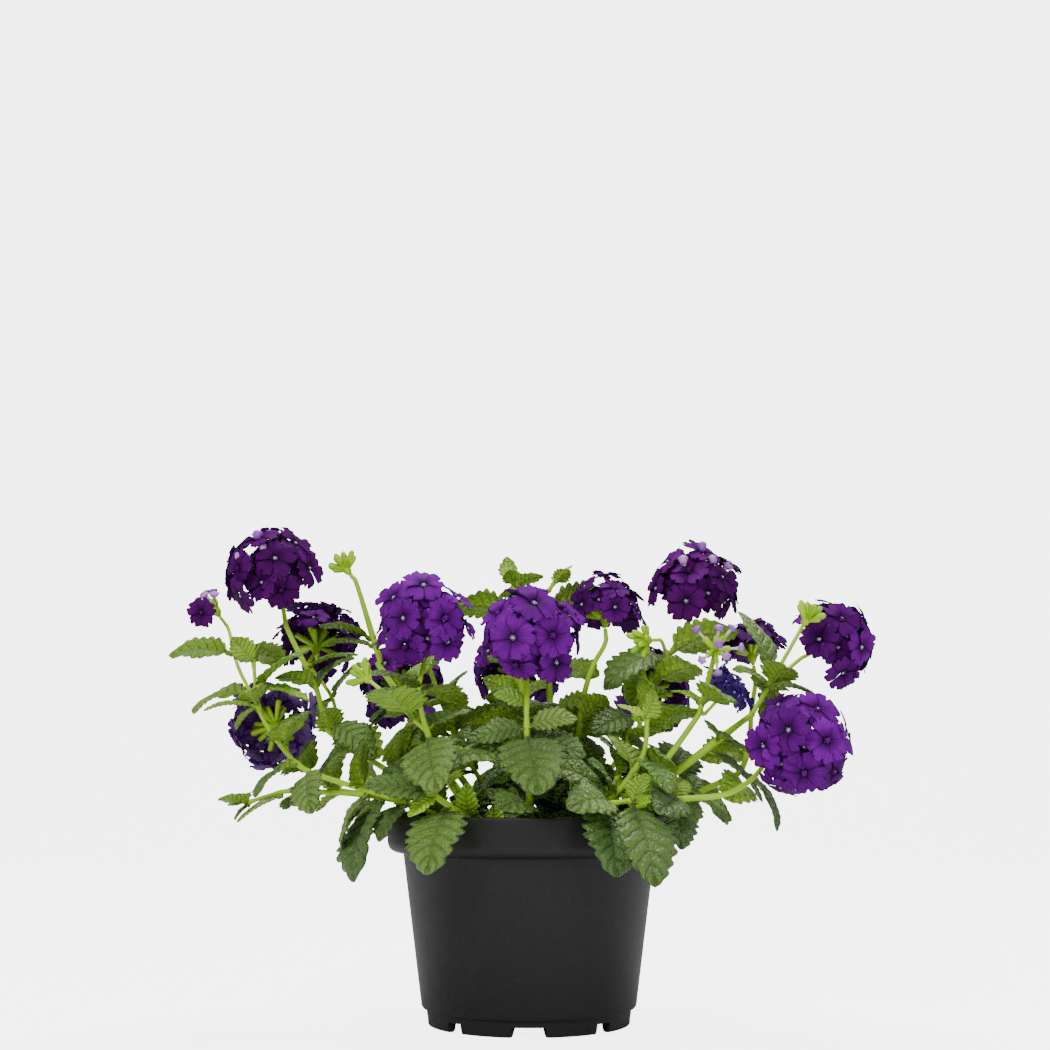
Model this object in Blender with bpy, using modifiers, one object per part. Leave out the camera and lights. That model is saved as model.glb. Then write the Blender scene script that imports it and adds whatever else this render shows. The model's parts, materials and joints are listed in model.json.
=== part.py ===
"""A potted verbena: a black nursery pot, its soil, leafy stems and flower heads.

Blender script. +Z is up, the origin is where the pot's axis meets the surface it stands on, and the
photograph's viewer looks along +Y. The layout is written in millimetres and scaled once, by MM.
"""

import math
import random

import bmesh
import bpy
from mathutils import Quaternion, Vector
from mathutils.bvhtree import BVHTree

MM = 0.001
UP = Vector((0, 0, 1))

# Driving sizes of the pot, in millimetres.
RIM_RADIUS = 65.0
RIM_BAND = 17.5
POT_HEIGHT = 94.0
BODY_TOP_RADIUS = 57.6
BODY_FOOT_RADIUS = 48.8
FOOT_RADIUS = 46.0
FOOT_HEIGHT = 7.5
WALL = 1.6
FLOOR_UNDER = 5.2
FOOT_WIDTH = 3.5
NOTCH_TAPER = 0.55
FLOOR_TOP = 7.0
POT_STEPS = 24
NOTCH_HEIGHT = 4.4
WIDE_NOTCH = 20.5
NARROW_NOTCH = 10.5
DRAIN_RADIUS = 4.5
DRAIN_CIRCLE = 29.0
GAP = 0.4
SEAT_GAP = 0.3

# Soil.
SOIL_LEVEL = 81.0
SOIL_SIDES = 16
SOIL_RADIUS = 61.6
SOIL_RINGS = (0.42, 0.8)
STEM_FOOT = 70.0
HOLE_FLOOR = 69.0
HOLE_SLACK = 0.8
HOLE_SIDES = 5

# Stems and leaves.
STEM_BASE_RADIUS = 1.9
STEM_STRAIGHT = 3.0
STEM_SIDES = 4
NECK = 8.0
STEM_TIP_RADIUS = 1.15
BRANCH_RADIUS = 1.2
SAMPLES_PER_SPAN = 2
STRAIGHT_WITHIN = 8.0
LEAF_LENGTH = 36.0
YOUNG_LEAF_LENGTH = 25.0
PAIR_SPACING = 26.0
SPACING_GROWTH = 16.0
BARE_BELOW_HEAD = 20.0
BARE_TIP = 5.0
LOWEST_PAIR = 97.0
LEAF_WIDTH_SHARE = 0.309
LEAF_FOLD = 0.16
SHORTEST_LEAF = 8.0
ROOT_SINK = 0.5
ROOT_RIB = 0.13
TEST_START = 0.11
LEAF_THICKNESS = 1.4
PETIOLE_SHARE = 0.15
PETIOLE_HALF_WIDTH = 1.2
TOOTH_DEPTH = 0.16
OUTWARD_LIGHT = 0.75
TEST_MARGIN = 0.7
HULL_MARGIN = 3.2
HULL_SHIFT = 2.5
TUFT_LENGTH = 12.0
YOUNG_LEAF_FROM = 17.0
TUFT_COUNT = 3

# Flower heads.
CORE_RADIUS = 5.5
HEAD_RADIUS = 19.5
LIMB_RADIUS = 9.7
LIMB_TOP = 0.7
LIMB_UNDER = 0.9
LIMB_CURL = 0.024
LAYER_STEP = 1.7
PETALS = 5
PETAL_OUTLINE = ((-36, 0.4), (-21, 0.95), (21, 0.95))
TUBE_RADIUS = 1.6
TUBE_SIDES = 3
TUBE_PAST_CENTRE = 3.0

# Rings of florets in a head: angle from its axis, how many, turn of the first, layer.
FULL_HEAD = ((0.0, 1, 0, 3), (42.0, 5, 0, 1.5), (79.0, 6, 20, 0))
HALF_HEAD = ((56.0, 5, 10, 0),)

# Closed buds in a cluster: how many, widest angle from its axis, length, radius.
BUD_CORE = 2.6
BUD_CLUSTER = (8, 52.0, 10.0, 1.25)
STAR_CLUSTER = (8, 82.0, 14.0, 1.15)
STAR_AXIS = Vector((0.05, -1.0, 0.15))
HEAD_BUDS = (5, 40.0, 14.5, 1.3)

# Finishes: base colour, roughness.
POT_BLACK = ((0.035, 0.035, 0.036), 0.45)
SOIL_BROWN = ((0.06, 0.035, 0.02), 0.95)
STEM_GREEN = ((0.16, 0.27, 0.06), 0.6)
PETAL_VIOLET = ((0.2, 0.004, 0.42), 0.6)

# Flower heads: centre, the way the dome faces, size, and the rings of florets.
HEADS = {
    "left_top": ((-117, -16, 199), (-0.25, -0.5, 0.83), 1.0, FULL_HEAD),
    "left_back": ((-102, 26, 172), (0.1, 0.5, 0.6), 0.92, FULL_HEAD),
    "left_bud": ((-145, -8, 187), (-0.5, -0.2, 0.8), 0.7, ((76.0, 1, 115, 0),)),
    "left_low": ((-117, -2, 134), (-0.35, 0.85, 0.1), 0.98, FULL_HEAD),
    "front_left": ((-46, -48, 174), (0.0, -0.62, 0.78), 1.0, FULL_HEAD),
    "front_mid": ((0, -56, 168), (0.08, -0.72, 0.68), 1.04, FULL_HEAD),
    "back_mid": ((36, 8, 184), (0.05, 0.1, 1.0), 0.8, FULL_HEAD),
    "right_top": ((77, 8, 194), (0.16, -0.38, 0.9), 1.0, FULL_HEAD),
    "right_far": ((136, -6, 170), (0.8, -0.3, 0.45), 0.98, FULL_HEAD),
    "right_low": ((117, -42, 125), (0.42, -0.85, 0.05), 1.08, FULL_HEAD),
    "right_wilted": ((88, -12, 147), (0.6, -0.1, 0.6), 0.62, HALF_HEAD),
    "right_back": ((108, 34, 168), (-0.1, 0.2, 1.0), 0.85, HALF_HEAD),
    "rear_left": ((-62, 64, 152), (-0.35, 0.65, 0.65), 1.0, FULL_HEAD),
    "rear_mid": ((-6, 67, 160), (0.0, 0.7, 0.7), 1.0, FULL_HEAD),
    "rear_right": ((60, 66, 152), (0.4, 0.7, 0.55), 1.0, FULL_HEAD),
}

# Main stems: where each enters the soil, the points it runs through, what it ends in, its branches.
STEMS = {
    "left": {
        "soil": (-24, -14),
        "path": [(-52, -22, 98), (-93, -26, 111), (-108, -28, 121), (-121, -30, 142), (-124, -27, 162)],
        "end": "tuft",
        "branches": [
            {"start": (-108, -28, 121), "path": [], "end": "left_low"},
            {"start": (-121, -30, 142), "path": [(-132, -20, 160)], "end": "left_bud"},
        ],
    },
    "left_tall": {
        "soil": (-16, -2),
        "path": [(-55, -2, 108), (-88, -6, 128), (-98, -12, 152), (-110, -14, 176)],
        "end": "left_top",
        "branches": [{"start": (-88, -6, 128), "path": [(-92, 10, 146)], "end": "left_back"}],
    },
    "left_flat": {
        "soil": (-30, 0),
        "path": [(-62, -7, 100), (-106, -8, 104), (-128, -6, 99)],
        "end": "tuft",
        "branches": [],
    },
    "bud_tall": {
        "soil": (-12, 8),
        "path": [(-42, 8, 120), (-66, 4, 156), (-72, 2, 174), (-80, 0, 198), (-85, -1, 206)],
        "end": "buds",
        "branches": [],
    },
    "shoot_high": {
        "soil": (-6, 16),
        "path": [(-34, 16, 128), (-52, 6, 168), (-57, -2, 190)],
        "end": "tuft",
        "branches": [],
    },
    "front_left": {
        "soil": (-15, -22),
        "path": [(-32, -40, 104), (-44, -52, 130), (-48, -53, 149)],
        "end": "front_left",
        "branches": [{"start": (-44, -52, 130), "path": [(-58, -46, 143), (-72, -34, 154)], "end": "buds"}],
    },
    "front_mid": {
        "soil": (1, -25),
        "path": [(0, -46, 104), (-1, -56, 132)],
        "end": "front_mid",
        "branches": [],
    },
    "top_left": {
        "soil": (2, 18),
        "path": [(-4, 16, 130), (-7, 12, 190), (-7, 10, 200)],
        "end": "tuft",
        "branches": [],
    },
    "top_right": {
        "soil": (13, 8),
        "path": [(10, 16, 130), (8, 18, 188), (12, 17, 202)],
        "end": "tuft",
        "branches": [],
    },
    "back_mid": {
        "soil": (16, -6),
        "path": [(20, -4, 112), (26, -1, 150)],
        "end": "back_mid",
        "branches": [],
    },
    "right_top": {
        "soil": (19, -14),
        "path": [(38, -20, 106), (48, -14, 138), (64, 2, 166)],
        "end": "right_top",
        "branches": [{"start": (64, 2, 166), "path": [(61, -12, 172), (54, -20, 172)], "end": "buds"}],
    },
    "right_shoot": {
        "soil": (12, -20),
        "path": [(36, -38, 102), (50, -40, 120), (52, -38, 136)],
        "end": "tuft",
        "branches": [],
    },
    "right_star": {
        "soil": (26, -12),
        "path": [(54, -26, 110), (70, -27, 130), (77, -26, 141), (82, -29, 160), (83, -33, 167)],
        "end": "star",
        "branches": [{"start": (77, -26, 141), "path": [], "end": "right_wilted"}],
    },
    "right_far": {
        "soil": (29, -2),
        "path": [(68, -14, 114), (94, -26, 134), (108, -30, 150), (120, -32, 170), (124, -32, 180)],
        "end": "buds",
        "branches": [{"start": (108, -30, 150), "path": [], "end": "right_far"}],
    },
    "right_low": {
        "soil": (26, -25),
        "path": [(50, -39, 99), (84, -44, 103), (101, -32, 112)],
        "end": "right_low",
        "branches": [],
    },
    "right_flat": {
        "soil": (34, 4),
        "path": [(72, -2, 102), (98, 0, 114), (105, 16, 140)],
        "end": "right_back",
        "branches": [],
    },
    "rim_left": {
        "soil": (-14, -36),
        "path": [(-32, -52, 98), (-40, -60, 103)],
        "end": "tuft",
        "branches": [],
    },
    "rim_right": {
        "soil": (15, -38),
        "path": [(32, -52, 98), (44, -60, 101)],
        "end": "tuft",
        "branches": [],
    },
    "rear_left": {
        "soil": (-17, 26),
        "path": [(-40, 44, 108), (-54, 54, 128)],
        "end": "rear_left",
        "branches": [],
    },
    "rear_mid": {
        "soil": (-2, 32),
        "path": [(-5, 50, 112), (-6, 60, 138)],
        "end": "rear_mid",
        "branches": [],
    },
    "rear_right": {
        "soil": (17, 26),
        "path": [(38, 44, 110), (52, 56, 130)],
        "end": "rear_right",
        "branches": [],
    },
    "rear_flat_left": {
        "soil": (-30, 16),
        "path": [(-56, 33, 100), (-92, 46, 103)],
        "end": "tuft",
        "branches": [],
    },
    "rear_flat_right": {
        "soil": (31, 18),
        "path": [(56, 33, 100), (94, 48, 104)],
        "end": "tuft",
        "branches": [],
    },
    "rear_rim": {
        "soil": (4, 42),
        "path": [(9, 60, 97), (12, 76, 99)],
        "end": "tuft",
        "branches": [],
    },
}

# Leaves laid by hand where the view from the front shows them: stem, base, tip, droop, roll.
# Each starts on the nearest point of its stem.
PORTRAIT_LEAVES = [
    ("rim_left", (-34, -54, 99), (-42, -81, 71), 50, 0),
    ("rim_left", (-26, -47, 95), (-11, -78, 85), 60, 0),
    ("rim_left", (-40, -60, 103), (-70, -66, 108), 30, 0),
    ("rim_right", (32, -52, 98), (36, -79, 70), 50, 0),
    ("rim_right", (43, -59, 100), (52, -80, 66), 50, 0),
    ("rim_right", (36, -55, 99), (16, -78, 98), 60, 0),
    ("left_flat", (-66, -6, 99), (-74, -42, 72), 60, 0),
    ("front_left", (-44, -52, 128), (-38, -80, 105), 45, 0),
    ("front_left", (-44, -52, 132), (-26, -36, 140), 40, 0),
    ("front_mid", (-1, -55, 129), (4, -89, 104), 45, 0),
    ("front_mid", (-1, -56, 132), (-23, -60, 126), 55, 0),
    ("front_mid", (-1, -56, 132), (21, -58, 136), 50, 0),
    ("left", (-98, -26, 114), (-94, -44, 95), 60, 0),
    ("left", (-121, -30, 142), (-145, -34, 140), 50, 0),
    ("left", (-122, -29, 150), (-98, -28, 144), 50, 0),
    ("left_tall", (-92, -8, 134), (-70, -14, 118), 70, 0),
    ("left_tall", (-103, -13, 160), (-78, -12, 166), 40, 0),
    ("left_flat", (-112, -8, 103), (-133, -10, 90), 30, 0),
    ("bud_tall", (-72, 2, 174), (-98, 0, 180), 40, 0),
    ("top_left", (-7, 12, 186), (-36, 8, 190), 45, 0),
    ("top_right", (9, 16, 188), (40, 8, 196), 40, 0),
    ("top_left", (-7, 12, 190), (12, -8, 190), 40, 0),
    ("right_low", (66, -46, 97), (54, -68, 96), 40, 0),
    ("right_far", (80, -20, 122), (100, -34, 92), 50, 0),
    ("right_flat", (98, 0, 114), (112, -14, 86), 60, 0),
    ("right_shoot", (50, -40, 118), (60, -60, 104), 50, 0),
    ("right_far", (108, -30, 150), (90, -38, 158), 60, 0),
    ("right_far", (108, -30, 150), (126, -42, 146), 60, 0),
    ("right_shoot", (36, -38, 102), (12, -62, 112), 40, 0),
    ("right_top", (48, -14, 138), (28, -26, 130), 50, 0),
]

# Tries for a leaf that would meet something: turn about the stem, extra lift, length share.
NUDGES = [
    (0, 0, 1.0), (14, 0, 1.0), (-14, 0, 1.0), (0, 16, 1.0), (0, -16, 1.0), (26, 8, 0.9), (-26, 8, 0.9),
    (0, 30, 0.85), (0, -30, 0.85), (38, 0, 0.8), (-38, 0, 0.8), (18, 22, 0.7), (-18, 22, 0.7),
    (18, -22, 0.7), (-18, -22, 0.7), (0, 0, 0.62), (50, 0, 0.6), (-50, 0, 0.6), (30, 35, 0.5), (-30, 35, 0.5),
]


def clear_scene():
    for obj in list(bpy.data.objects):
        bpy.data.objects.remove(obj)


def finish_material(name, finish):
    colour, roughness = finish
    material = bpy.data.materials.new(name)
    material.use_nodes = True
    shader = material.node_tree.nodes["Principled BSDF"]
    shader.inputs["Base Color"].default_value = (*colour, 1)
    shader.inputs["Roughness"].default_value = roughness
    shader.inputs["Metallic"].default_value = 0
    return material


def add_object(name, mesh, collection, material=None):
    obj = bpy.data.objects.new(name, mesh)
    collection.objects.link(obj)
    if material:
        mesh.materials.append(material)
    return obj


def mesh_from(name, points, faces):
    """A mesh from points in millimetres."""
    mesh = bpy.data.meshes.new(name)
    mesh.from_pydata([tuple(p * MM) for p in points], [], faces)
    mesh.update()
    return mesh


def applied(obj):
    """The object's evaluated mesh, as a mesh of its own."""
    bpy.context.view_layer.update()
    graph = bpy.context.evaluated_depsgraph_get()
    return bpy.data.meshes.new_from_object(obj.evaluated_get(graph))


def largest_body(mesh):
    """Leaves only the largest body: a sealed hollow or a loose scrap between crossing roots goes."""
    work = bmesh.new()
    work.from_mesh(mesh)
    left = set(work.verts)
    bodies = []
    while left:
        body, edge = set(), [left.pop()]
        while edge:
            vertex = edge.pop()
            body.add(vertex)
            for link in vertex.link_edges:
                other = link.other_vert(vertex)
                if other in left:
                    left.remove(other)
                    edge.append(other)
        bodies.append(body)
    bodies.sort(key=len)
    for body in bodies[:-1]:
        bmesh.ops.delete(work, geom=list(body), context="VERTS")
    work.to_mesh(mesh)
    work.free()


def boolean(obj, others, operation):
    """Joins or cuts obj by a collection of others, applies it, and removes the others."""
    modifier = obj.modifiers.new(operation.lower(), "BOOLEAN")
    modifier.operation = operation
    modifier.operand_type = "COLLECTION"
    modifier.collection = others
    modifier.solver = "MANIFOLD"
    mesh = applied(obj)
    largest_body(mesh)
    obj.modifiers.clear()
    obj.data = mesh
    for other in list(others.objects):
        bpy.data.objects.remove(other)
    bpy.data.collections.remove(others)


def spare_collection(name):
    collection = bpy.data.collections.new(name)
    bpy.context.scene.collection.children.link(collection)
    return collection


# Layout of stems, leaves and florets

def smooth_path(points, per_span):
    """A Catmull-Rom curve through the points, sampled per_span times between each two."""
    ends = [points[0] * 2 - points[1]] + points + [points[-1] * 2 - points[-2]]
    found = []
    for i in range(len(points) - 1):
        a, b, c, d = ends[i : i + 4]
        for k in range(per_span):
            t = k / per_span
            bow = (2 * a - 5 * b + 4 * c - d) * t * t + (3 * b - a - 3 * c + d) * t**3
            found.append(0.5 * (2 * b + (c - a) * t + bow))
    found.append(points[-1])
    return [p for i, p in enumerate(found) if i in (0, len(found) - 1) or bends(found[i - 1 : i + 2])]


def bends(three):
    """Whether a line turns enough at its middle point to keep the point."""
    first, middle, last = three
    return math.degrees((middle - first).angle(last - middle)) > STRAIGHT_WITHIN


def head_axis(name):
    return Vector(HEADS[name][1]).normalized()


def head_centre(name):
    return Vector(HEADS[name][0])


def path_points(first, rest, end):
    points = first + [Vector(p) for p in rest]
    if end in HEADS:
        size = HEADS[end][2]
        seat = head_centre(end) - head_axis(end) * (CORE_RADIUS * size + SEAT_GAP)
        if (seat - points[-1]).length > 2 * NECK:
            points.append(seat - head_axis(end) * NECK)
        points.append(seat)
    return points


def stem_runs(stem):
    """Each run of the stem as (line, root radius, tip radius, what it ends in)."""
    spec = STEMS[stem]
    x, y = spec["soil"]
    points = path_points([Vector((x, y, SOIL_LEVEL + STEM_STRAIGHT))], spec["path"], spec["end"])
    line = [Vector((x, y, STEM_FOOT))] + smooth_path(points, SAMPLES_PER_SPAN)
    runs = [(line, STEM_BASE_RADIUS, STEM_TIP_RADIUS, spec["end"])]
    for branch in spec["branches"]:
        points = path_points([nearest_on(line, Vector(branch["start"]))], branch["path"], branch["end"])
        line_out = smooth_path(points, SAMPLES_PER_SPAN)
        runs.append((line_out, BRANCH_RADIUS, STEM_TIP_RADIUS * 0.9, branch["end"]))
    return runs


def along(line, distance):
    """The place and direction at this distance along a line of points."""
    for a, b in zip(line, line[1:]):
        step = (b - a).length
        if distance <= step:
            return a + (b - a) * (distance / step), (b - a).normalized()
        distance -= step
    return line[-1], (line[-1] - line[-2]).normalized()


def length_of(line):
    return sum((b - a).length for a, b in zip(line, line[1:]))


def nearest_on(line, place):
    """The point of the line that is nearest to a place."""
    best = None
    for a, b in zip(line, line[1:]):
        share = max(0.0, min(1.0, (place - a).dot(b - a) / (b - a).length_squared))
        point = a + (b - a) * share
        if best is None or (point - place).length < (best - place).length:
            best = point
    return best


def leaf_frame(leaf, share):
    """Middle of the blade at this share of its length, with its forward, side and upper directions."""
    chord = leaf["tip"] - leaf["base"]
    forward = chord.normalized()
    side = forward.cross(leaf["light"])
    if side.length < 0.2:
        side = forward.cross(leaf["light"] + Vector((0, 0, 0.5)))
    side.normalize()
    upper = side.cross(forward)
    lean = Quaternion(forward, math.radians(-leaf["roll"]))
    side, upper = lean @ side, lean @ upper
    bend = math.radians(leaf["droop"])
    radius = chord.length / (2 * math.sin(bend / 2))
    angle = bend * (share - 0.5)
    middle = (leaf["base"] + leaf["tip"]) / 2 - upper * (radius * math.cos(bend / 2))
    outward = upper * math.cos(angle) + forward * math.sin(angle)
    ahead = forward * math.cos(angle) - upper * math.sin(angle)
    return middle + outward * radius, ahead, side, outward


def blade_width(leaf, share):
    """Half width of the blade without its teeth."""
    if share <= PETIOLE_SHARE:
        return PETIOLE_HALF_WIDTH
    s = (share - PETIOLE_SHARE) / (1 - PETIOLE_SHARE)
    full = math.sin(math.pi * s**0.72) ** 0.8 if 0 < s < 1 else 0.0
    return PETIOLE_HALF_WIDTH * (1 - s) + leaf["half_width"] * full


def blade_edge(leaf, share, side_sign, reach):
    """A point of the blade's rim: it rises from the rib and then curls down."""
    place, _, side, outward = leaf_frame(leaf, share)
    width = blade_width(leaf, share) * reach
    return place + side * (side_sign * width) + outward * (leaf["fold"] * width)


def leaf_outline(teeth):
    """Shares of the length and reaches of the rim's corners, then the shares of the rib's."""
    ribs = (ROOT_RIB, 0.34, 0.62, 0.86) if teeth > 2 else (ROOT_RIB, 0.55)
    rim = [(PETIOLE_SHARE, 1.0)]
    for k in range(teeth):
        notch = PETIOLE_SHARE + (1 - PETIOLE_SHARE) * (k + 0.15) / (teeth + 0.35)
        crest = PETIOLE_SHARE + (1 - PETIOLE_SHARE) * (k + 0.85) / (teeth + 0.35)
        if k or teeth > 2:
            rim.append((notch, 1 - TOOTH_DEPTH * 0.8))
        rim.append((crest, 1 + TOOTH_DEPTH))
    return rim, ribs


def leaf_solid(leaf, swell=0.0):
    """Points and faces of a toothed blade: lens-shaped across, its rim shared by both faces."""
    rim, ribs = leaf_outline(leaf["teeth"])
    root, ahead, _, _ = leaf_frame(leaf, TEST_START if swell else 0.0)
    tip, end, _, _ = leaf_frame(leaf, 1.0)
    points = [root if swell else root - ahead * ROOT_SINK, tip + end * swell]
    chains = {}
    for sign in (-1, 1):
        chains[sign] = [(0.0, 0)]
        for share, reach in rim:
            side = leaf_frame(leaf, share)[2]
            chains[sign].append((share, len(points)))
            points.append(blade_edge(leaf, share, sign, reach) + side * (sign * swell))
        chains[sign].append((1.0, 1))
    faces = []
    for level in (1, -1):
        middle = [(0.0, 0)]
        for share in ribs:
            rib, _, _, outward = leaf_frame(leaf, share)
            middle.append((share, len(points)))
            points.append(rib + outward * (level * (LEAF_THICKNESS + swell) * (1 - 0.45 * share) / 2))
        middle.append((1.0, 1))
        for sign in (-1, 1):
            faces += strip(chains[sign], middle, level * sign > 0)
    return points, faces


def strip(rim, ribs, flip):
    """Triangles between two chains of (share, index), taken in the order of their shares."""
    faces = []
    i = j = 0
    while i < len(rim) - 1 or j < len(ribs) - 1:
        step_rim = j == len(ribs) - 1 or (i < len(rim) - 1 and rim[i + 1][0] <= ribs[j + 1][0])
        if step_rim:
            face = (rim[i][1], rim[i + 1][1], ribs[j][1])
            i += 1
        else:
            face = (rim[i][1], ribs[j + 1][1], ribs[j][1])
            j += 1
        if len(set(face)) == 3:
            faces.append(face[::-1] if flip else face)
    return faces


def tree_of(points, faces):
    return BVHTree.FromPolygons(points, faces)


def tube_faces(line, root, tip, sides=STEM_SIDES):
    """Points and faces of a closed tube along a line, its radius running from root to tip."""
    points, faces = [], []
    side = None
    for i, place in enumerate(line):
        ahead = (line[min(i + 1, len(line) - 1)] - line[max(i - 1, 0)]).normalized()
        if side is None:
            side = ahead.cross(Vector((0.3, 0.9, 0.2)))
        side = (side - ahead * side.dot(ahead)).normalized()
        other = ahead.cross(side)
        radius = root + (tip - root) * i / (len(line) - 1)
        for k in range(sides):
            turn = 2 * math.pi * k / sides
            points.append(place + (side * math.cos(turn) + other * math.sin(turn)) * radius)
    for i in range(len(line) - 1):
        for k in range(sides):
            a, b = i * sides + k, i * sides + (k + 1) % sides
            faces.append((a, b, b + sides, a + sides))
    faces.append(tuple(range(sides))[::-1])
    faces.append(tuple(len(points) - sides + k for k in range(sides)))
    return points, faces


def across(axis):
    """Two directions square to an axis and to each other."""
    side = axis.cross(Vector((0.2, 0.3, 1))).normalized()
    return side, axis.cross(side)


def floret_places(name):
    """Each floret of a head as (middle of its limb, the way it faces, size, turn, reach)."""
    _, _, size, rings = HEADS[name]
    centre, axis = head_centre(name), head_axis(name)
    side, other = across(axis)
    draw = random.Random(name)
    found = []
    for polar, count, first, layer in rings:
        for k in range(count):
            turn = math.radians(first + 360 * (k + draw.uniform(-0.06, 0.06)) / count)
            tilt = math.radians(polar + draw.uniform(-4, 4))
            facing = axis * math.cos(tilt) + (side * math.cos(turn) + other * math.sin(turn)) * math.sin(tilt)
            reach = HEAD_RADIUS * size + LAYER_STEP * (layer + 0.5 * (k % 2))
            lean = Vector((draw.uniform(-1, 1), draw.uniform(-1, 1), draw.uniform(-1, 1))) * 0.05
            facing_out = (facing + lean).normalized()
            spread = size * draw.uniform(0.94, 1.04)
            found.append((centre + facing * reach, facing_out, spread, draw.random(), reach))
    return found


def head_hull(name):
    """A rough ball round a head, which leaves keep out of."""
    _, _, size, _ = HEADS[name]
    ball = bmesh.new()
    bmesh.ops.create_icosphere(ball, subdivisions=2, radius=(HEAD_RADIUS + HULL_MARGIN) * size)
    points = [v.co + head_centre(name) + head_axis(name) * HULL_SHIFT for v in ball.verts]
    faces = [[v.index for v in f.verts] for f in ball.faces]
    ball.free()
    return points, faces


def new_leaf(base, reach, droop, roll, portrait):
    return {
        "base": base,
        "tip": base + reach,
        "light": (UP + Vector((base.x, base.y, 0)).normalized() * OUTWARD_LIGHT).normalized(),
        "droop": droop,
        "roll": roll,
        "fold": LEAF_FOLD,
        "half_width": LEAF_WIDTH_SHARE * reach.length,
        "teeth": 3 if portrait else 2 if reach.length > YOUNG_LEAF_FROM else 1,
    }


class Growth:
    """The stems with their leaves, and all that a new leaf has to keep clear of."""

    def __init__(self):
        self.obstacles = [("head", tree_of(*head_hull(name))) for name in HEADS]
        self.plants = {}
        for name in STEMS:
            runs = stem_runs(name)
            for line, root, tip, _ in runs:
                tube = tube_faces(line, root + TEST_MARGIN, tip + TEST_MARGIN)
                self.obstacles.append((name, tree_of(*tube)))
            self.plants[name] = {"runs": runs, "leaves": []}
        self.obstacles.append(("pot", tree_of(*rim_wall())))

    def try_leaf(self, stem, base, ahead, reach, droop, roll, nudges, portrait=False):
        """Adds the leaf in the first nudged position where it meets nothing."""
        for turn, lift, share in nudges:
            way = reach.copy()
            way.rotate(rotation(ahead, turn))
            level = way.cross(UP)
            if level.length > 1e-3:
                way.rotate(rotation(level, lift))
            if way.length * share < SHORTEST_LEAF:
                continue
            leaf = new_leaf(base, way * share, droop, roll, portrait)
            shape = tree_of(*leaf_solid(leaf, TEST_MARGIN))
            if any(owner != stem and shape.overlap(tree) for owner, tree in self.obstacles):
                continue
            self.obstacles.append(("leaf", shape))
            self.plants[stem]["leaves"].append(leaf)
            return

    def portrait_leaf(self, stem, base, tip, droop, roll):
        lines = [run[0] for run in self.plants[stem]["runs"]]
        base, tip = Vector(base), Vector(tip)
        line = min(lines, key=lambda one: (nearest_on(one, base) - base).length)
        start = nearest_on(line, base)
        ahead = (line[-1] - line[0]).normalized()
        self.try_leaf(stem, start, ahead, tip - start, droop, roll, NUDGES[:9], True)

    def leaf_pairs(self, stem, line, end, draw):
        """Opposite pairs up a stem, each turned a right angle from the last. Returns the next turn."""
        total = length_of(line)
        distance = draw.uniform(2, 9)
        turn = draw.uniform(0, 90)
        while distance < total - (BARE_BELOW_HEAD if end in HEADS else BARE_TIP):
            place, ahead = along(line, distance)
            if place.z > LOWEST_PAIR or math.hypot(place.x, place.y) > RIM_RADIUS + 4:
                grown = distance / total
                length = (LEAF_LENGTH * (1 - grown) + YOUNG_LEAF_LENGTH * grown) * draw.uniform(0.88, 1.08)
                for half in (0, 180):
                    out = outward_from(ahead, turn + half)
                    reach = (out * 0.9 + ahead * 0.3 - UP * draw.uniform(0, 0.5)).normalized() * length
                    droop, roll = draw.uniform(45, 75), draw.uniform(-12, 12)
                    self.try_leaf(stem, place, ahead, reach, droop, roll, NUDGES)
            turn += 90 + draw.uniform(-12, 12)
            distance += (PAIR_SPACING + SPACING_GROWTH * distance / total) * draw.uniform(0.85, 1.15)
        return turn

    def tuft(self, stem, line, turn):
        """Young leaves at a stem's tip, the first nearly upright."""
        place, ahead = line[-1], (line[-1] - line[-2]).normalized()
        for k in range(TUFT_COUNT):
            out = outward_from(ahead, turn + 360 / TUFT_COUNT * k)
            rise, length = (0.7, TUFT_LENGTH * 1.3) if k else (1.2, TUFT_LENGTH * 0.9)
            reach = (out * 0.75 + ahead * rise).normalized() * length
            self.try_leaf(stem, place, ahead, reach, 30, 0, NUDGES[:5])


def outward_from(ahead, turn):
    """A direction square to the stem, turned about it."""
    out = ahead.cross(Vector((0.31, 0.17, 0.93))).normalized()
    out.rotate(rotation(ahead, turn))
    return out


def grow():
    """Every stem with its leaves: those laid by hand first, then the pairs and the tips."""
    growth = Growth()
    for leaf in PORTRAIT_LEAVES:
        growth.portrait_leaf(*leaf)
    for stem in STEMS:
        draw = random.Random(stem)
        turn = 0
        for line, _, _, end in growth.plants[stem]["runs"]:
            turn = growth.leaf_pairs(stem, line, end, draw)
        for line, _, _, end in growth.plants[stem]["runs"]:
            if end == "tuft":
                growth.tuft(stem, line, turn)
    return growth.plants


def rotation(axis, degrees):
    return Quaternion(axis, math.radians(degrees))


def rim_wall():
    """The pot's upper wall and the soil's level, which leaves keep clear of."""
    points, faces = [], []
    profile = [
        (0, SOIL_LEVEL + 2.2),
        (RIM_RADIUS - WALL - 0.6, SOIL_LEVEL + 2.0),
        (RIM_RADIUS - WALL - 0.6, POT_HEIGHT + 0.5),
        (RIM_RADIUS + 0.7, POT_HEIGHT + 0.5),
        (RIM_RADIUS + 0.7, POT_HEIGHT - RIM_BAND - 1),
        (BODY_TOP_RADIUS + 0.7, POT_HEIGHT - RIM_BAND - 2),
        (FOOT_RADIUS + 0.7, 0),
    ]
    sides = 24
    for radius, height in profile:
        for k in range(sides):
            turn = 2 * math.pi * k / sides
            points.append(Vector((radius * math.cos(turn), radius * math.sin(turn), height)))
    for i in range(len(profile) - 1):
        for k in range(sides):
            a, b = i * sides + k, i * sides + (k + 1) % sides
            faces.append((a, b, b + sides, a + sides))
    return points, faces


# Solids

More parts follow.
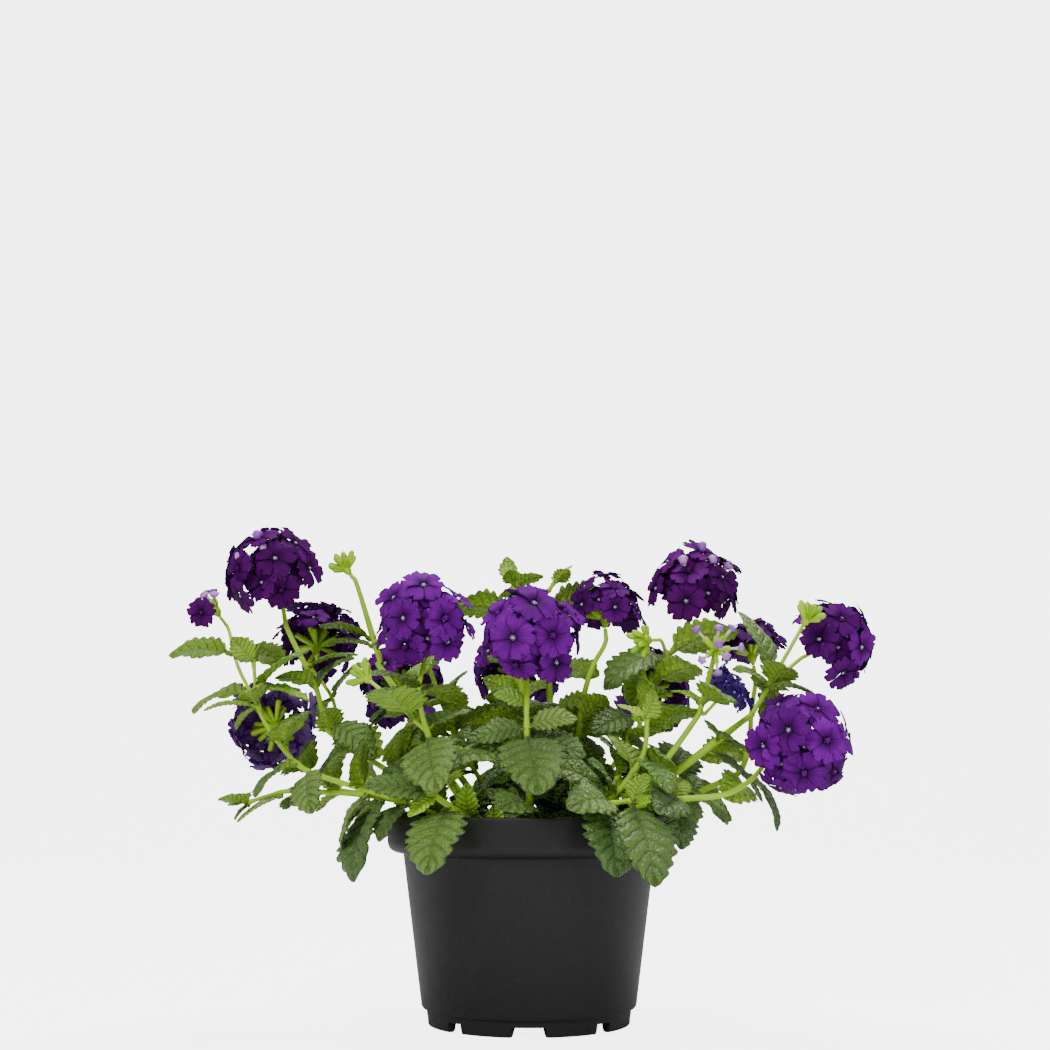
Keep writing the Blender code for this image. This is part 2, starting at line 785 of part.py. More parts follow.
def solid(name, points, faces, collection, material=None):
    """A closed mesh object with its faces turned outwards."""
    mesh = mesh_from(name, points, faces)
    work = bmesh.new()
    work.from_mesh(mesh)
    bmesh.ops.recalc_face_normals(work, faces=work.faces)
    work.to_mesh(mesh)
    work.free()
    return add_object(name, mesh, collection, material)


def floret_solid(place, facing, size, turn, reach):
    """Five notched petals round an eye, on a slim tube that runs into the head's core."""
    side, other = across(facing)
    points, faces = [place + facing * LIMB_TOP], []
    for petal in range(PETALS):
        for offset, share in PETAL_OUTLINE:
            angle = math.radians(72 * (petal + turn) + offset)
            radius = LIMB_RADIUS * size * share
            out = side * math.cos(angle) + other * math.sin(angle)
            points.append(place + out * radius - facing * (LIMB_CURL * radius * radius))
    rim = len(points) - 1
    faces += [(0, 1 + k, 1 + (k + 1) % rim) for k in range(rim)]
    ring = len(points)
    for k in range(TUBE_SIDES):
        angle = math.radians(72 * turn - 36 + 360 * k / TUBE_SIDES)
        out = side * math.cos(angle) + other * math.sin(angle)
        points.append(place + out * TUBE_RADIUS - facing * LIMB_UNDER)
    for k in range(rim):
        near = ring + min(TUBE_SIDES - 1, k * TUBE_SIDES // rim)
        after = ring + min(TUBE_SIDES, (k + 1) * TUBE_SIDES // rim) % TUBE_SIDES
        faces.append((1 + k, near, 1 + (k + 1) % rim))
        if after != near:
            faces.append((1 + (k + 1) % rim, near, after))
    points.append(place - facing * (reach + TUBE_PAST_CENTRE))
    faces += [(ring + k, len(points) - 1, ring + (k + 1) % TUBE_SIDES) for k in range(TUBE_SIDES)]
    return points, faces


def bud_solid(root, tip, radius):
    """A closed bud: a four-sided spindle, widest near its tip."""
    ahead = (tip - root).normalized()
    side, other = across(ahead)
    middle = root + (tip - root) * 0.72
    points = [root]
    for k in range(4):
        turn = math.pi * k / 2
        points.append(middle + (side * math.cos(turn) + other * math.sin(turn)) * radius)
    points.append(tip)
    faces = [(0, 1 + (k + 1) % 4, 1 + k) for k in range(4)] + [(5, 1 + k, 1 + (k + 1) % 4) for k in range(4)]
    return points, faces


def bud_cluster(centre, axis, cluster, seed):
    """The buds of a cluster round an axis, the first along it."""
    count, spread, length, radius = cluster
    side, other = across(axis)
    draw = random.Random(seed)
    found = []
    for k in range(count):
        tilt = math.radians(spread * (k / (count - 1)) ** 0.5)
        turn = k * 2.4
        facing = axis * math.cos(tilt) + (side * math.cos(turn) + other * math.sin(turn)) * math.sin(tilt)
        found.append((centre - facing * 0.8, centre + facing * length * draw.uniform(0.88, 1.05), radius))
    return found


def core_solid(centre, axis, radius):
    """An eight-faced core with a corner at each end of its axis."""
    side, other = across(axis)
    points = [centre + way * radius for way in (side, other, -side, -other, axis, -axis)]
    faces = [(k, (k + 1) % 4, 4) for k in range(4)] + [((k + 1) % 4, k, 5) for k in range(4)]
    return points, faces


def build_head(name, material):
    centre, axis = head_centre(name), head_axis(name)
    _, _, size, rings = HEADS[name]
    extras = spare_collection("florets")
    core = core_solid(centre, axis, CORE_RADIUS * size)
    head = solid("head_" + name, *core, bpy.context.scene.collection, material)
    for number, floret in enumerate(floret_places(name)):
        solid(f"floret_{number}", *floret_solid(*floret), extras)
    if rings != FULL_HEAD:
        count, spread, length, radius = HEAD_BUDS
        for number, bud in enumerate(bud_cluster(centre, axis, (count, spread, length * size, radius), name)):
            solid(f"bud_{number}", *bud_solid(*bud), extras)
    boolean(head, extras, "UNION")


def build_stem(name, plant, material):
    extras = spare_collection("growth")
    line, root, tip, _ = plant["runs"][0]
    stem = solid("stem_" + name, *tube_faces(line, root, tip), bpy.context.scene.collection, material)
    for number, (line, root, tip, _) in enumerate(plant["runs"][1:]):
        solid(f"branch_{number}", *tube_faces(line, root, tip), extras)
    for number, leaf in enumerate(plant["leaves"]):
        solid(f"leaf_{number}", *leaf_solid(leaf), extras)
    for number, (line, _, _, end) in enumerate(plant["runs"]):
        if end not in ("buds", "star"):
            continue
        ahead = (line[-1] - line[-2]).normalized()
        axis = STAR_AXIS.normalized() if end == "star" else ahead
        cluster = STAR_CLUSTER if end == "star" else BUD_CLUSTER
        solid(f"bud_core_{number}", *core_solid(line[-1], axis, BUD_CORE), extras)
        for k, bud in enumerate(bud_cluster(line[-1], axis, cluster, name)):
            solid(f"bud_{number}_{k}", *bud_solid(*bud), extras)
    boolean(stem, extras, "UNION")


def pot_profile():
    """Radius and height from the middle of the floor, up the inside, over the rim and down outside."""
    band = POT_HEIGHT - RIM_BAND
    return [
        (0, FLOOR_TOP),
        (BODY_FOOT_RADIUS - WALL - 1.0, FLOOR_TOP),
        (BODY_FOOT_RADIUS - WALL, FLOOR_TOP + 2.0),
        (BODY_TOP_RADIUS - WALL, band + 1.0),
        (RIM_RADIUS - WALL - 2.0, band + 2.2),
        (RIM_RADIUS - WALL, band + 5.0),
        (RIM_RADIUS - WALL, POT_HEIGHT),
        (RIM_RADIUS - 0.4, POT_HEIGHT),
        (RIM_RADIUS, POT_HEIGHT - 0.6),
        (RIM_RADIUS - 0.2, band + 4.2),
        (RIM_RADIUS - 1.2, band + 1.6),
        (RIM_RADIUS - 3.6, band + 0.2),
        (BODY_TOP_RADIUS, band),
        (BODY_FOOT_RADIUS, FOOT_HEIGHT + 1.0),
        (BODY_FOOT_RADIUS - 0.6, FOOT_HEIGHT),
        (FOOT_RADIUS + 0.4, FOOT_HEIGHT - 0.4),
        (FOOT_RADIUS, 0),
        (FOOT_RADIUS - FOOT_WIDTH, 0),
        (FOOT_RADIUS - FOOT_WIDTH - 0.6, FLOOR_UNDER),
        (0, FLOOR_UNDER),
    ]


def notch_block(turn, width, collection):
    """A block through the foot ring, wider at the floor and outside than within."""
    points = []
    for radius, spread in ((FOOT_RADIUS - FOOT_WIDTH - 3, NOTCH_TAPER), (FOOT_RADIUS + 4, 1.0)):
        for height, flare in ((-1.0, 1.12), (NOTCH_HEIGHT, 0.9)):
            for sign in (-1, 1):
                half = sign * width * spread * flare / 2
                points.append(
                    Vector((radius * math.cos(turn) - half * math.sin(turn),
                            radius * math.sin(turn) + half * math.cos(turn), height))
                )
    faces = [(0, 1, 3, 2), (4, 6, 7, 5), (0, 4, 5, 1), (2, 3, 7, 6), (0, 2, 6, 4), (1, 5, 7, 3)]
    solid("notch", points, faces, collection)


def disc_column(name, x, y, low, high, radius, sides, collection):
    points = []
    for height in (low, high):
        for k in range(sides):
            turn = 2 * math.pi * (k + 0.5) / sides
            points.append(Vector((x + radius * math.cos(turn), y + radius * math.sin(turn), height)))
    faces = [(k, (k + 1) % sides, sides + (k + 1) % sides, sides + k) for k in range(sides)]
    faces += [tuple(range(sides))[::-1], tuple(range(sides, 2 * sides))]
    return solid(name, points, faces, collection)


def build_pot(material):
    profile = bpy.data.meshes.new("pot")
    points = [(radius * MM, 0, height * MM) for radius, height in pot_profile()]
    profile.from_pydata(points, [(i, i + 1) for i in range(len(points) - 1)], [])
    pot = add_object("pot", profile, bpy.context.scene.collection)
    screw = pot.modifiers.new("turned", "SCREW")
    screw.axis = "Z"
    screw.steps = POT_STEPS
    screw.render_steps = POT_STEPS
    screw.use_merge_vertices = True
    screw.merge_threshold = 1e-5
    screw.use_normal_calculate = True
    pot.data = applied(pot)
    pot.modifiers.clear()
    pot.data.materials.clear()
    pot.data.materials.append(material)
    cutters = spare_collection("pot_openings")
    for k in range(8):
        turn = math.radians(-90 + 45 * k)
        notch_block(turn, NARROW_NOTCH if k % 2 else WIDE_NOTCH, cutters)
        if k % 2 == 0:
            x, y = DRAIN_CIRCLE * math.cos(turn), DRAIN_CIRCLE * math.sin(turn)
            disc_column("drain", x, y, 0, FLOOR_TOP + 3, DRAIN_RADIUS, 8, cutters)
    boolean(pot, cutters, "DIFFERENCE")


def soil_height(x, y):
    """Lumpy peat, a little higher round the stems than at the wall."""
    radius = math.hypot(x, y)
    lumps = 0.8 * math.sin(0.21 * x + 1.3) * math.cos(0.19 * y - 0.4) + 0.5 * math.sin(0.37 * x - 0.31 * y)
    return SOIL_LEVEL + lumps + 0.8 * math.cos(radius / 62 * math.pi / 2)


def build_soil(material):
    """A solid fill that follows the pot's inside, with a plain hole for each stem."""
    band = POT_HEIGHT - RIM_BAND
    inner = [
        (BODY_FOOT_RADIUS - WALL - 1.0 - GAP, FLOOR_TOP + GAP),
        (BODY_FOOT_RADIUS - WALL - GAP - 0.2, FLOOR_TOP + 2.2),
        (BODY_TOP_RADIUS - WALL - GAP - 0.2, band + 1.5),
        (RIM_RADIUS - WALL - 2.0 - GAP - 0.2, band + 2.6),
    ]
    points, faces = [Vector((0, 0, FLOOR_TOP + GAP))], []
    rings = []
    for radius, height in inner:
        rings.append([(radius, height)] * SOIL_SIDES)
    for share in reversed(SOIL_RINGS + (1.0,)):
        rings.append([(share * SOIL_RADIUS, None)] * SOIL_SIDES)
    for number, ring in enumerate(rings):
        for k, (radius, height) in enumerate(ring):
            turn = 2 * math.pi * (k + 0.5 * (number % 2 if height is None else 0)) / SOIL_SIDES
            x, y = radius * math.cos(turn), radius * math.sin(turn)
            points.append(Vector((x, y, soil_height(x, y) if height is None else height)))
    points.append(Vector((0, 0, soil_height(0, 0))))
    for k in range(SOIL_SIDES):
        faces.append((0, 1 + (k + 1) % SOIL_SIDES, 1 + k))
    for level in range(len(rings) - 1):
        for k in range(SOIL_SIDES):
            a, b = 1 + level * SOIL_SIDES + k, 1 + level * SOIL_SIDES + (k + 1) % SOIL_SIDES
            faces += [(a, b, b + SOIL_SIDES), (a, b + SOIL_SIDES, a + SOIL_SIDES)]
    top = len(points) - 1
    for k in range(SOIL_SIDES):
        faces.append((top - SOIL_SIDES + k, top - SOIL_SIDES + (k + 1) % SOIL_SIDES, top))
    soil = solid("soil", points, faces, bpy.context.scene.collection, material)
    holes = spare_collection("stem_holes")
    for name, spec in STEMS.items():
        x, y = spec["soil"]
        radius = STEM_BASE_RADIUS + HOLE_SLACK
        disc_column("hole_" + name, x, y, HOLE_FLOOR, SOIL_LEVEL + 8, radius, HOLE_SIDES, holes)
    boolean(soil, holes, "DIFFERENCE")


def main():
    clear_scene()
    green = finish_material("leaf_green", STEM_GREEN)
    violet = finish_material("petal_violet", PETAL_VIOLET)
    build_pot(finish_material("pot_black", POT_BLACK))
    build_soil(finish_material("soil_brown", SOIL_BROWN))
    for name, plant in grow().items():
        build_stem(name, plant, green)
    for name in HEADS:
        build_head(name, violet)


main()
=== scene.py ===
"""The looks of the potted verbena: finer pieces in place of its faceted solids.

The layout is the faceted model's, repeated here in millimetres and scaled by MM, so that each piece
stays where its solid is. +Z is up and the viewer looks along +Y.
"""

import json
import math
import random

import bmesh
import bpy
import numpy as np
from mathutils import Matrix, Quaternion, Vector
from mathutils.bvhtree import BVHTree

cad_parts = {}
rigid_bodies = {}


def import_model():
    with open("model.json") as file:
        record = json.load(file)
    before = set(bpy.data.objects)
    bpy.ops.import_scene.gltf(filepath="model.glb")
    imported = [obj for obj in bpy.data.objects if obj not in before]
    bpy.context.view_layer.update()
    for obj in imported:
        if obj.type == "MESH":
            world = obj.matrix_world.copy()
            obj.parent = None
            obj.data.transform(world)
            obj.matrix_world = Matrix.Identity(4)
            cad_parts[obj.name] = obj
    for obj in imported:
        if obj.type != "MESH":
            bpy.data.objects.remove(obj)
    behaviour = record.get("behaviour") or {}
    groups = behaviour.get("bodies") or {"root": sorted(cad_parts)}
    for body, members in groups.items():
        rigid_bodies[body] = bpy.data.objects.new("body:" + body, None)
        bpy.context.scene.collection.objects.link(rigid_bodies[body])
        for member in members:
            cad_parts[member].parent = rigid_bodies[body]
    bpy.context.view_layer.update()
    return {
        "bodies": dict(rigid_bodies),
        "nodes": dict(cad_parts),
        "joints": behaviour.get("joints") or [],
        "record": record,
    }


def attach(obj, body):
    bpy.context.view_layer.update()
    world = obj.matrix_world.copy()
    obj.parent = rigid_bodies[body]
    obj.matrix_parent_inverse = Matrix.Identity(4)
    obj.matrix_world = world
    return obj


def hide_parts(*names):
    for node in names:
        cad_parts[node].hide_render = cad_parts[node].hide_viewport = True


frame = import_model()

MM = 0.001
UP = Vector((0, 0, 1))

# Driving sizes of the pot, in millimetres.
RIM_RADIUS = 65.0
RIM_BAND = 17.5
POT_HEIGHT = 94.0
BODY_TOP_RADIUS = 57.6
BODY_FOOT_RADIUS = 48.8
FOOT_RADIUS = 46.0
FOOT_HEIGHT = 7.5
WALL = 1.6
FLOOR_UNDER = 5.2
FOOT_WIDTH = 3.5
NOTCH_TAPER = 0.55
FLOOR_TOP = 7.0
WALL_SIDES = 24
CORNER_ROUND = 1.2
SHARP_FROM = 35
NOTCH_HEIGHT = 4.4
WIDE_NOTCH = 20.5
NARROW_NOTCH = 10.5
NOTCHES = 8
DRAIN_RADIUS = 4.5
DRAIN_CIRCLE = 29.0
GAP = 0.4
SEAT_GAP = 0.3

# Soil.
SOIL_LEVEL = 81.0
SOIL_RADIUS = 61.6
STEM_FOOT = 70.0
PEAT_SIDES = 120
PEAT_RINGS = 40
PEAT_FOOT = 47.0
PEAT_BOTTOM = FLOOR_TOP + 0.6
CRUMBS = 260
CRUMB_RADII = (0.5, 1.7)

# Stems and leaves.
STEM_BASE_RADIUS = 1.9
STEM_STRAIGHT = 3.0
STEM_SIDES = 4
NECK = 8.0
STEM_TIP_RADIUS = 1.15
BRANCH_RADIUS = 1.2
BRANCH_TIP_RADIUS = STEM_TIP_RADIUS * 0.9
SAMPLES_PER_SPAN = 2
STRAIGHT_WITHIN = 8.0
LEAF_LENGTH = 36.0
YOUNG_LEAF_LENGTH = 25.0
PAIR_SPACING = 26.0
SPACING_GROWTH = 16.0
BARE_BELOW_HEAD = 20.0
BARE_TIP = 5.0
LOWEST_PAIR = 97.0
LEAF_WIDTH_SHARE = 0.309
LEAF_FOLD = 0.16
SHORTEST_LEAF = 8.0
ROOT_SINK = 0.5
ROOT_RIB = 0.13
TEST_START = 0.11
LEAF_THICKNESS = 1.4
PETIOLE_SHARE = 0.15
PETIOLE_HALF_WIDTH = 1.2
TOOTH_DEPTH = 0.16
OUTWARD_LIGHT = 0.75
TEST_MARGIN = 0.7
HULL_MARGIN = 3.2
HULL_SHIFT = 2.5
TUFT_LENGTH = 12.0
YOUNG_LEAF_FROM = 17.0
TUFT_COUNT = 3

# Flower heads.
CORE_RADIUS = 5.5
HEAD_RADIUS = 19.5
LIMB_RADIUS = 9.7
LAYER_STEP = 1.7
PETALS = 5

# Rings of florets in a head: angle from its axis, how many, turn of the first, layer.
FULL_HEAD = ((0.0, 1, 0, 3), (42.0, 5, 0, 1.5), (79.0, 6, 20, 0))
HALF_HEAD = ((56.0, 5, 10, 0),)

# Closed buds in a cluster: how many, widest angle from its axis, length, radius.
BUD_CORE = 2.6
BUD_TURN = 2.4
BUD_CLUSTER = (8, 52.0, 10.0, 1.25)
STAR_CLUSTER = (8, 82.0, 14.0, 1.15)
STAR_AXIS = Vector((0.05, -1.0, 0.15))
HEAD_BUDS = (5, 40.0, 14.5, 1.3)

# Flower heads: centre, the way the dome faces, size, and the rings of florets.
HEADS = {
    "left_top": ((-117, -16, 199), (-0.25, -0.5, 0.83), 1.0, FULL_HEAD),
    "left_back": ((-102, 26, 172), (0.1, 0.5, 0.6), 0.92, FULL_HEAD),
    "left_bud": ((-145, -8, 187), (-0.5, -0.2, 0.8), 0.7, ((76.0, 1, 115, 0),)),
    "left_low": ((-117, -2, 134), (-0.35, 0.85, 0.1), 0.98, FULL_HEAD),
    "front_left": ((-46, -48, 174), (0.0, -0.62, 0.78), 1.0, FULL_HEAD),
    "front_mid": ((0, -56, 168), (0.08, -0.72, 0.68), 1.04, FULL_HEAD),
    "back_mid": ((36, 8, 184), (0.05, 0.1, 1.0), 0.8, FULL_HEAD),
    "right_top": ((77, 8, 194), (0.16, -0.38, 0.9), 1.0, FULL_HEAD),
    "right_far": ((136, -6, 170), (0.8, -0.3, 0.45), 0.98, FULL_HEAD),
    "right_low": ((117, -42, 125), (0.42, -0.85, 0.05), 1.08, FULL_HEAD),
    "right_wilted": ((88, -12, 147), (0.6, -0.1, 0.6), 0.62, HALF_HEAD),
    "right_back": ((108, 34, 168), (-0.1, 0.2, 1.0), 0.85, HALF_HEAD),
    "rear_left": ((-62, 64, 152), (-0.35, 0.65, 0.65), 1.0, FULL_HEAD),
    "rear_mid": ((-6, 67, 160), (0.0, 0.7, 0.7), 1.0, FULL_HEAD),
    "rear_right": ((60, 66, 152), (0.4, 0.7, 0.55), 1.0, FULL_HEAD),
}

# Main stems: where each enters the soil, what it ends in, the points it runs through, and its
# branches as (start, points, end).
STEMS = {
    "left": ((-24, -14), "tuft",
        [(-52, -22, 98), (-93, -26, 111), (-108, -28, 121), (-121, -30, 142), (-124, -27, 162)],
        [((-108, -28, 121), [], "left_low"), ((-121, -30, 142), [(-132, -20, 160)], "left_bud")]),
    "left_tall": ((-16, -2), "left_top",
        [(-55, -2, 108), (-88, -6, 128), (-98, -12, 152), (-110, -14, 176)],
        [((-88, -6, 128), [(-92, 10, 146)], "left_back")]),
    "left_flat": ((-30, 0), "tuft", [(-62, -7, 100), (-106, -8, 104), (-128, -6, 99)], []),
    "bud_tall": ((-12, 8), "buds",
        [(-42, 8, 120), (-66, 4, 156), (-72, 2, 174), (-80, 0, 198), (-85, -1, 206)], []),
    "shoot_high": ((-6, 16), "tuft", [(-34, 16, 128), (-52, 6, 168), (-57, -2, 190)], []),
    "front_left": ((-15, -22), "front_left",
        [(-32, -40, 104), (-44, -52, 130), (-48, -53, 149)],
        [((-44, -52, 130), [(-58, -46, 143), (-72, -34, 154)], "buds")]),
    "front_mid": ((1, -25), "front_mid", [(0, -46, 104), (-1, -56, 132)], []),
    "top_left": ((2, 18), "tuft", [(-4, 16, 130), (-7, 12, 190), (-7, 10, 200)], []),
    "top_right": ((13, 8), "tuft", [(10, 16, 130), (8, 18, 188), (12, 17, 202)], []),
    "back_mid": ((16, -6), "back_mid", [(20, -4, 112), (26, -1, 150)], []),
    "right_top": ((19, -14), "right_top",
        [(38, -20, 106), (48, -14, 138), (64, 2, 166)],
        [((64, 2, 166), [(61, -12, 172), (54, -20, 172)], "buds")]),
    "right_shoot": ((12, -20), "tuft", [(36, -38, 102), (50, -40, 120), (52, -38, 136)], []),
    "right_star": ((26, -12), "star",
        [(54, -26, 110), (70, -27, 130), (77, -26, 141), (82, -29, 160), (83, -33, 167)],
        [((77, -26, 141), [], "right_wilted")]),
    "right_far": ((29, -2), "buds",
        [(68, -14, 114), (94, -26, 134), (108, -30, 150), (120, -32, 170), (124, -32, 180)],
        [((108, -30, 150), [], "right_far")]),
    "right_low": ((26, -25), "right_low", [(50, -39, 99), (84, -44, 103), (101, -32, 112)], []),
    "right_flat": ((34, 4), "right_back", [(72, -2, 102), (98, 0, 114), (105, 16, 140)], []),
    "rim_left": ((-14, -36), "tuft", [(-32, -52, 98), (-40, -60, 103)], []),
    "rim_right": ((15, -38), "tuft", [(32, -52, 98), (44, -60, 101)], []),
    "rear_left": ((-17, 26), "rear_left", [(-40, 44, 108), (-54, 54, 128)], []),
    "rear_mid": ((-2, 32), "rear_mid", [(-5, 50, 112), (-6, 60, 138)], []),
    "rear_right": ((17, 26), "rear_right", [(38, 44, 110), (52, 56, 130)], []),
    "rear_flat_left": ((-30, 16), "tuft", [(-56, 33, 100), (-92, 46, 103)], []),
    "rear_flat_right": ((31, 18), "tuft", [(56, 33, 100), (94, 48, 104)], []),
    "rear_rim": ((4, 42), "tuft", [(9, 60, 97), (12, 76, 99)], []),
}

# Leaves listed one by one where the view from the front shows them: stem, base, tip, droop, roll.
# Each starts on the nearest point of its stem.
PORTRAIT_LEAVES = [
    ("rim_left", (-34, -54, 99), (-42, -81, 71), 50, 0),
    ("rim_left", (-26, -47, 95), (-11, -78, 85), 60, 0),
    ("rim_left", (-40, -60, 103), (-70, -66, 108), 30, 0),
    ("rim_right", (32, -52, 98), (36, -79, 70), 50, 0),
    ("rim_right", (43, -59, 100), (52, -80, 66), 50, 0),
    ("rim_right", (36, -55, 99), (16, -78, 98), 60, 0),
    ("left_flat", (-66, -6, 99), (-74, -42, 72), 60, 0),
    ("front_left", (-44, -52, 128), (-38, -80, 105), 45, 0),
    ("front_left", (-44, -52, 132), (-26, -36, 140), 40, 0),
    ("front_mid", (-1, -55, 129), (4, -89, 104), 45, 0),
    ("front_mid", (-1, -56, 132), (-23, -60, 126), 55, 0),
    ("front_mid", (-1, -56, 132), (21, -58, 136), 50, 0),
    ("left", (-98, -26, 114), (-94, -44, 95), 60, 0),
    ("left", (-121, -30, 142), (-145, -34, 140), 50, 0),
    ("left", (-122, -29, 150), (-98, -28, 144), 50, 0),
    ("left_tall", (-92, -8, 134), (-70, -14, 118), 70, 0),
    ("left_tall", (-103, -13, 160), (-78, -12, 166), 40, 0),
    ("left_flat", (-112, -8, 103), (-133, -10, 90), 30, 0),
    ("bud_tall", (-72, 2, 174), (-98, 0, 180), 40, 0),
    ("top_left", (-7, 12, 186), (-36, 8, 190), 45, 0),
    ("top_right", (9, 16, 188), (40, 8, 196), 40, 0),
    ("top_left", (-7, 12, 190), (12, -8, 190), 40, 0),
    ("right_low", (66, -46, 97), (54, -68, 96), 40, 0),
    ("right_far", (80, -20, 122), (100, -34, 92), 50, 0),
    ("right_flat", (98, 0, 114), (112, -14, 86), 60, 0),
    ("right_shoot", (50, -40, 118), (60, -60, 104), 50, 0),
    ("right_far", (108, -30, 150), (90, -38, 158), 60, 0),
    ("right_far", (108, -30, 150), (126, -42, 146), 60, 0),
    ("right_shoot", (36, -38, 102), (12, -62, 112), 40, 0),
    ("right_top", (48, -14, 138), (28, -26, 130), 50, 0),
]

# Tries for a leaf that would meet something: turn about the stem, extra lift, length share.
NUDGES = [
    (0, 0, 1.0), (14, 0, 1.0), (-14, 0, 1.0), (0, 16, 1.0), (0, -16, 1.0),
    (26, 8, 0.9), (-26, 8, 0.9),
    (0, 30, 0.85), (0, -30, 0.85), (38, 0, 0.8), (-38, 0, 0.8), (18, 22, 0.7), (-18, 22, 0.7),
    (18, -22, 0.7), (-18, -22, 0.7), (0, 0, 0.62), (50, 0, 0.6), (-50, 0, 0.6),
    (30, 35, 0.5), (-30, 35, 0.5),
]


# Fineness of the visible pieces.
FINE_ROWS = 44
FINE_COLUMNS = 13
SMALL_ROWS = 24
SMALL_COLUMNS = 9
PETAL_ROWS = 7
PETAL_COLUMNS = 9
POT_SIDES = 128
ROUND_SHARE = 0.76
NODE_SWELL = 0.2
HAIR_SPACING = 0.7
HAIRS_AT_ONCE = 2
HAIR_WIDTH = 0.05
HAIR_LENGTHS = (0.7, 1.5)

# A visible stem's curve: samples between two points, and the least bend in degrees that keeps one.
CURVE = (5, 0.4)

# Relief of a leaf, in millimetres for a blade 34 long, and its teeth.
GRAIN_LENGTH = 34.0
FINE_TOOTH = 0.28
TEETH = 7
SMALL_TEETH = 5

# Leaves shorter than the first are lighter, most of all those shorter by the second.
GROWN_FROM = 24
FRESH_SPAN = 14
LEAF_SPREAD = 1.12
VEINS = 6.5
VEIN_LEAN = 1.6
PUCKER = 1.0
EDGE_RIPPLE = 0.7
EDGE_CURL = 1.1

# A floret: shares of its limb's radius, and how far each departs from the plain ring.
FINE_LIMB = 1.08
PETAL_WIDTH = 0.51
PETAL_NOTCH = 0.25
THROAT = 0.06
FINE_CURL = 0.012
LOOSENESS = 0.24

# How dark the petals of a head are, and how faded, both from 0 to 1.
HEAD_LOOKS = {
    "left_top": (0.85, 0.0),
    "left_back": (0.7, 0.0),
    "left_bud": (0.95, 0.0),
    "left_low": (0.5, 0.25),
    "front_left": (0.2, 0.0),
    "front_mid": (0.15, 0.0),
    "back_mid": (0.65, 0.0),
    "right_top": (0.95, 0.0),
    "right_far": (0.5, 0.0),
    "right_low": (0.1, 0.0),
    "right_wilted": (0.6, 1.0),
    "right_back": (0.75, 0.1),
}

# Shoots with light new leaves: from which height, and how light.
FRESH_SHOOTS = {
    "left": (136, 1.0),
    "top_left": (180, 0.5),
    "top_right": (180, 0.5),
    "shoot_high": (150, 0.7),
    "right_shoot": (110, 0.4),
    "right_star": (130, 0.6),
    "rim_left": (90, 0.35),
    "rim_right": (90, 0.35),
    "right_top": (150, 0.4),
}

# Florets under the outer ones: angle from the head's axis, how many, turn of the first.
INNER_RINGS = ((24.0, 3, 30), (63.0, 6, 50))

# Small buds among those of a closed cluster, and the tall ones that stand out of two open heads.
FINE_BUDS = (8, 66.0, 8.0, 0.95)
LATE_BUDS = {"left_top": (4, 30.0, 26.0, 1.2), "right_top": (5, 38.0, 27.0, 1.2)}

# The leaves that fill the middle: the highest and widest place for one, and the spacing up a stem.
UNDER_TOP = 150.0
UNDER_REACH = 60.0
UNDER_SPACING = 17.0
UNDER_START = 15.0
UNDER_LENGTHS = (22, 31)


# Layout of stems, leaves and florets

def smooth_path(points, per_span, least=STRAIGHT_WITHIN):
    """A Catmull-Rom curve through the points, sampled per_span times between each two."""
    ends = [points[0] * 2 - points[1]] + points + [points[-1] * 2 - points[-2]]
    found = []
    for i in range(len(points) - 1):
        a, b, c, d = ends[i : i + 4]
        for k in range(per_span):
            t = k / per_span
            bow = (2 * a - 5 * b + 4 * c - d) * t * t + (3 * b - a - 3 * c + d) * t**3
            found.append(0.5 * (2 * b + (c - a) * t + bow))
    found.append(points[-1])
    ends = (0, len(found) - 1)
    return [p for i, p in enumerate(found) if i in ends or bends(found[i - 1 : i + 2], least)]


def bends(three, least):
    """Whether a line turns enough at its middle point to keep the point."""
    first, middle, last = three
    return math.degrees((middle - first).angle(last - middle)) > least


def head_axis(name):
    return Vector(HEADS[name][1]).normalized()


def head_centre(name):
    return Vector(HEADS[name][0])


def path_points(first, rest, end):
    points = first + [Vector(p) for p in rest]
    if end in HEADS:
        size = HEADS[end][2]
        seat = head_centre(end) - head_axis(end) * (CORE_RADIUS * size + SEAT_GAP)
        if (seat - points[-1]).length > 2 * NECK:
            points.append(seat - head_axis(end) * NECK)
        points.append(seat)
    return points


def stem_runs(stem):
    """Each run of the stem as (line, root radius, tip radius, what it ends in)."""
    (x, y), end, path, branches = STEMS[stem]
    points = path_points([Vector((x, y, SOIL_LEVEL + STEM_STRAIGHT))], path, end)
    line = [Vector((x, y, STEM_FOOT))] + smooth_path(points, SAMPLES_PER_SPAN)
    runs = [(line, STEM_BASE_RADIUS, STEM_TIP_RADIUS, end)]
    for start, path, end in branches:
        points = path_points([nearest_on(line, Vector(start))], path, end)
        runs.append((smooth_path(points, SAMPLES_PER_SPAN), BRANCH_RADIUS, BRANCH_TIP_RADIUS, end))
    return runs


def along(line, distance):
    """The place and direction at this distance along a line of points."""
    for a, b in zip(line, line[1:]):
        step = (b - a).length
        if distance <= step:
            return a + (b - a) * (distance / step), (b - a).normalized()
        distance -= step
    return line[-1], (line[-1] - line[-2]).normalized()


def length_of(line):
    return sum((b - a).length for a, b in zip(line, line[1:]))


def nearest_on(line, place):
    """The point of the line that is nearest to a place."""
    best = None
    for a, b in zip(line, line[1:]):
        share = max(0.0, min(1.0, (place - a).dot(b - a) / (b - a).length_squared))
        point = a + (b - a) * share
        if best is None or (point - place).length < (best - place).length:
            best = point
    return best


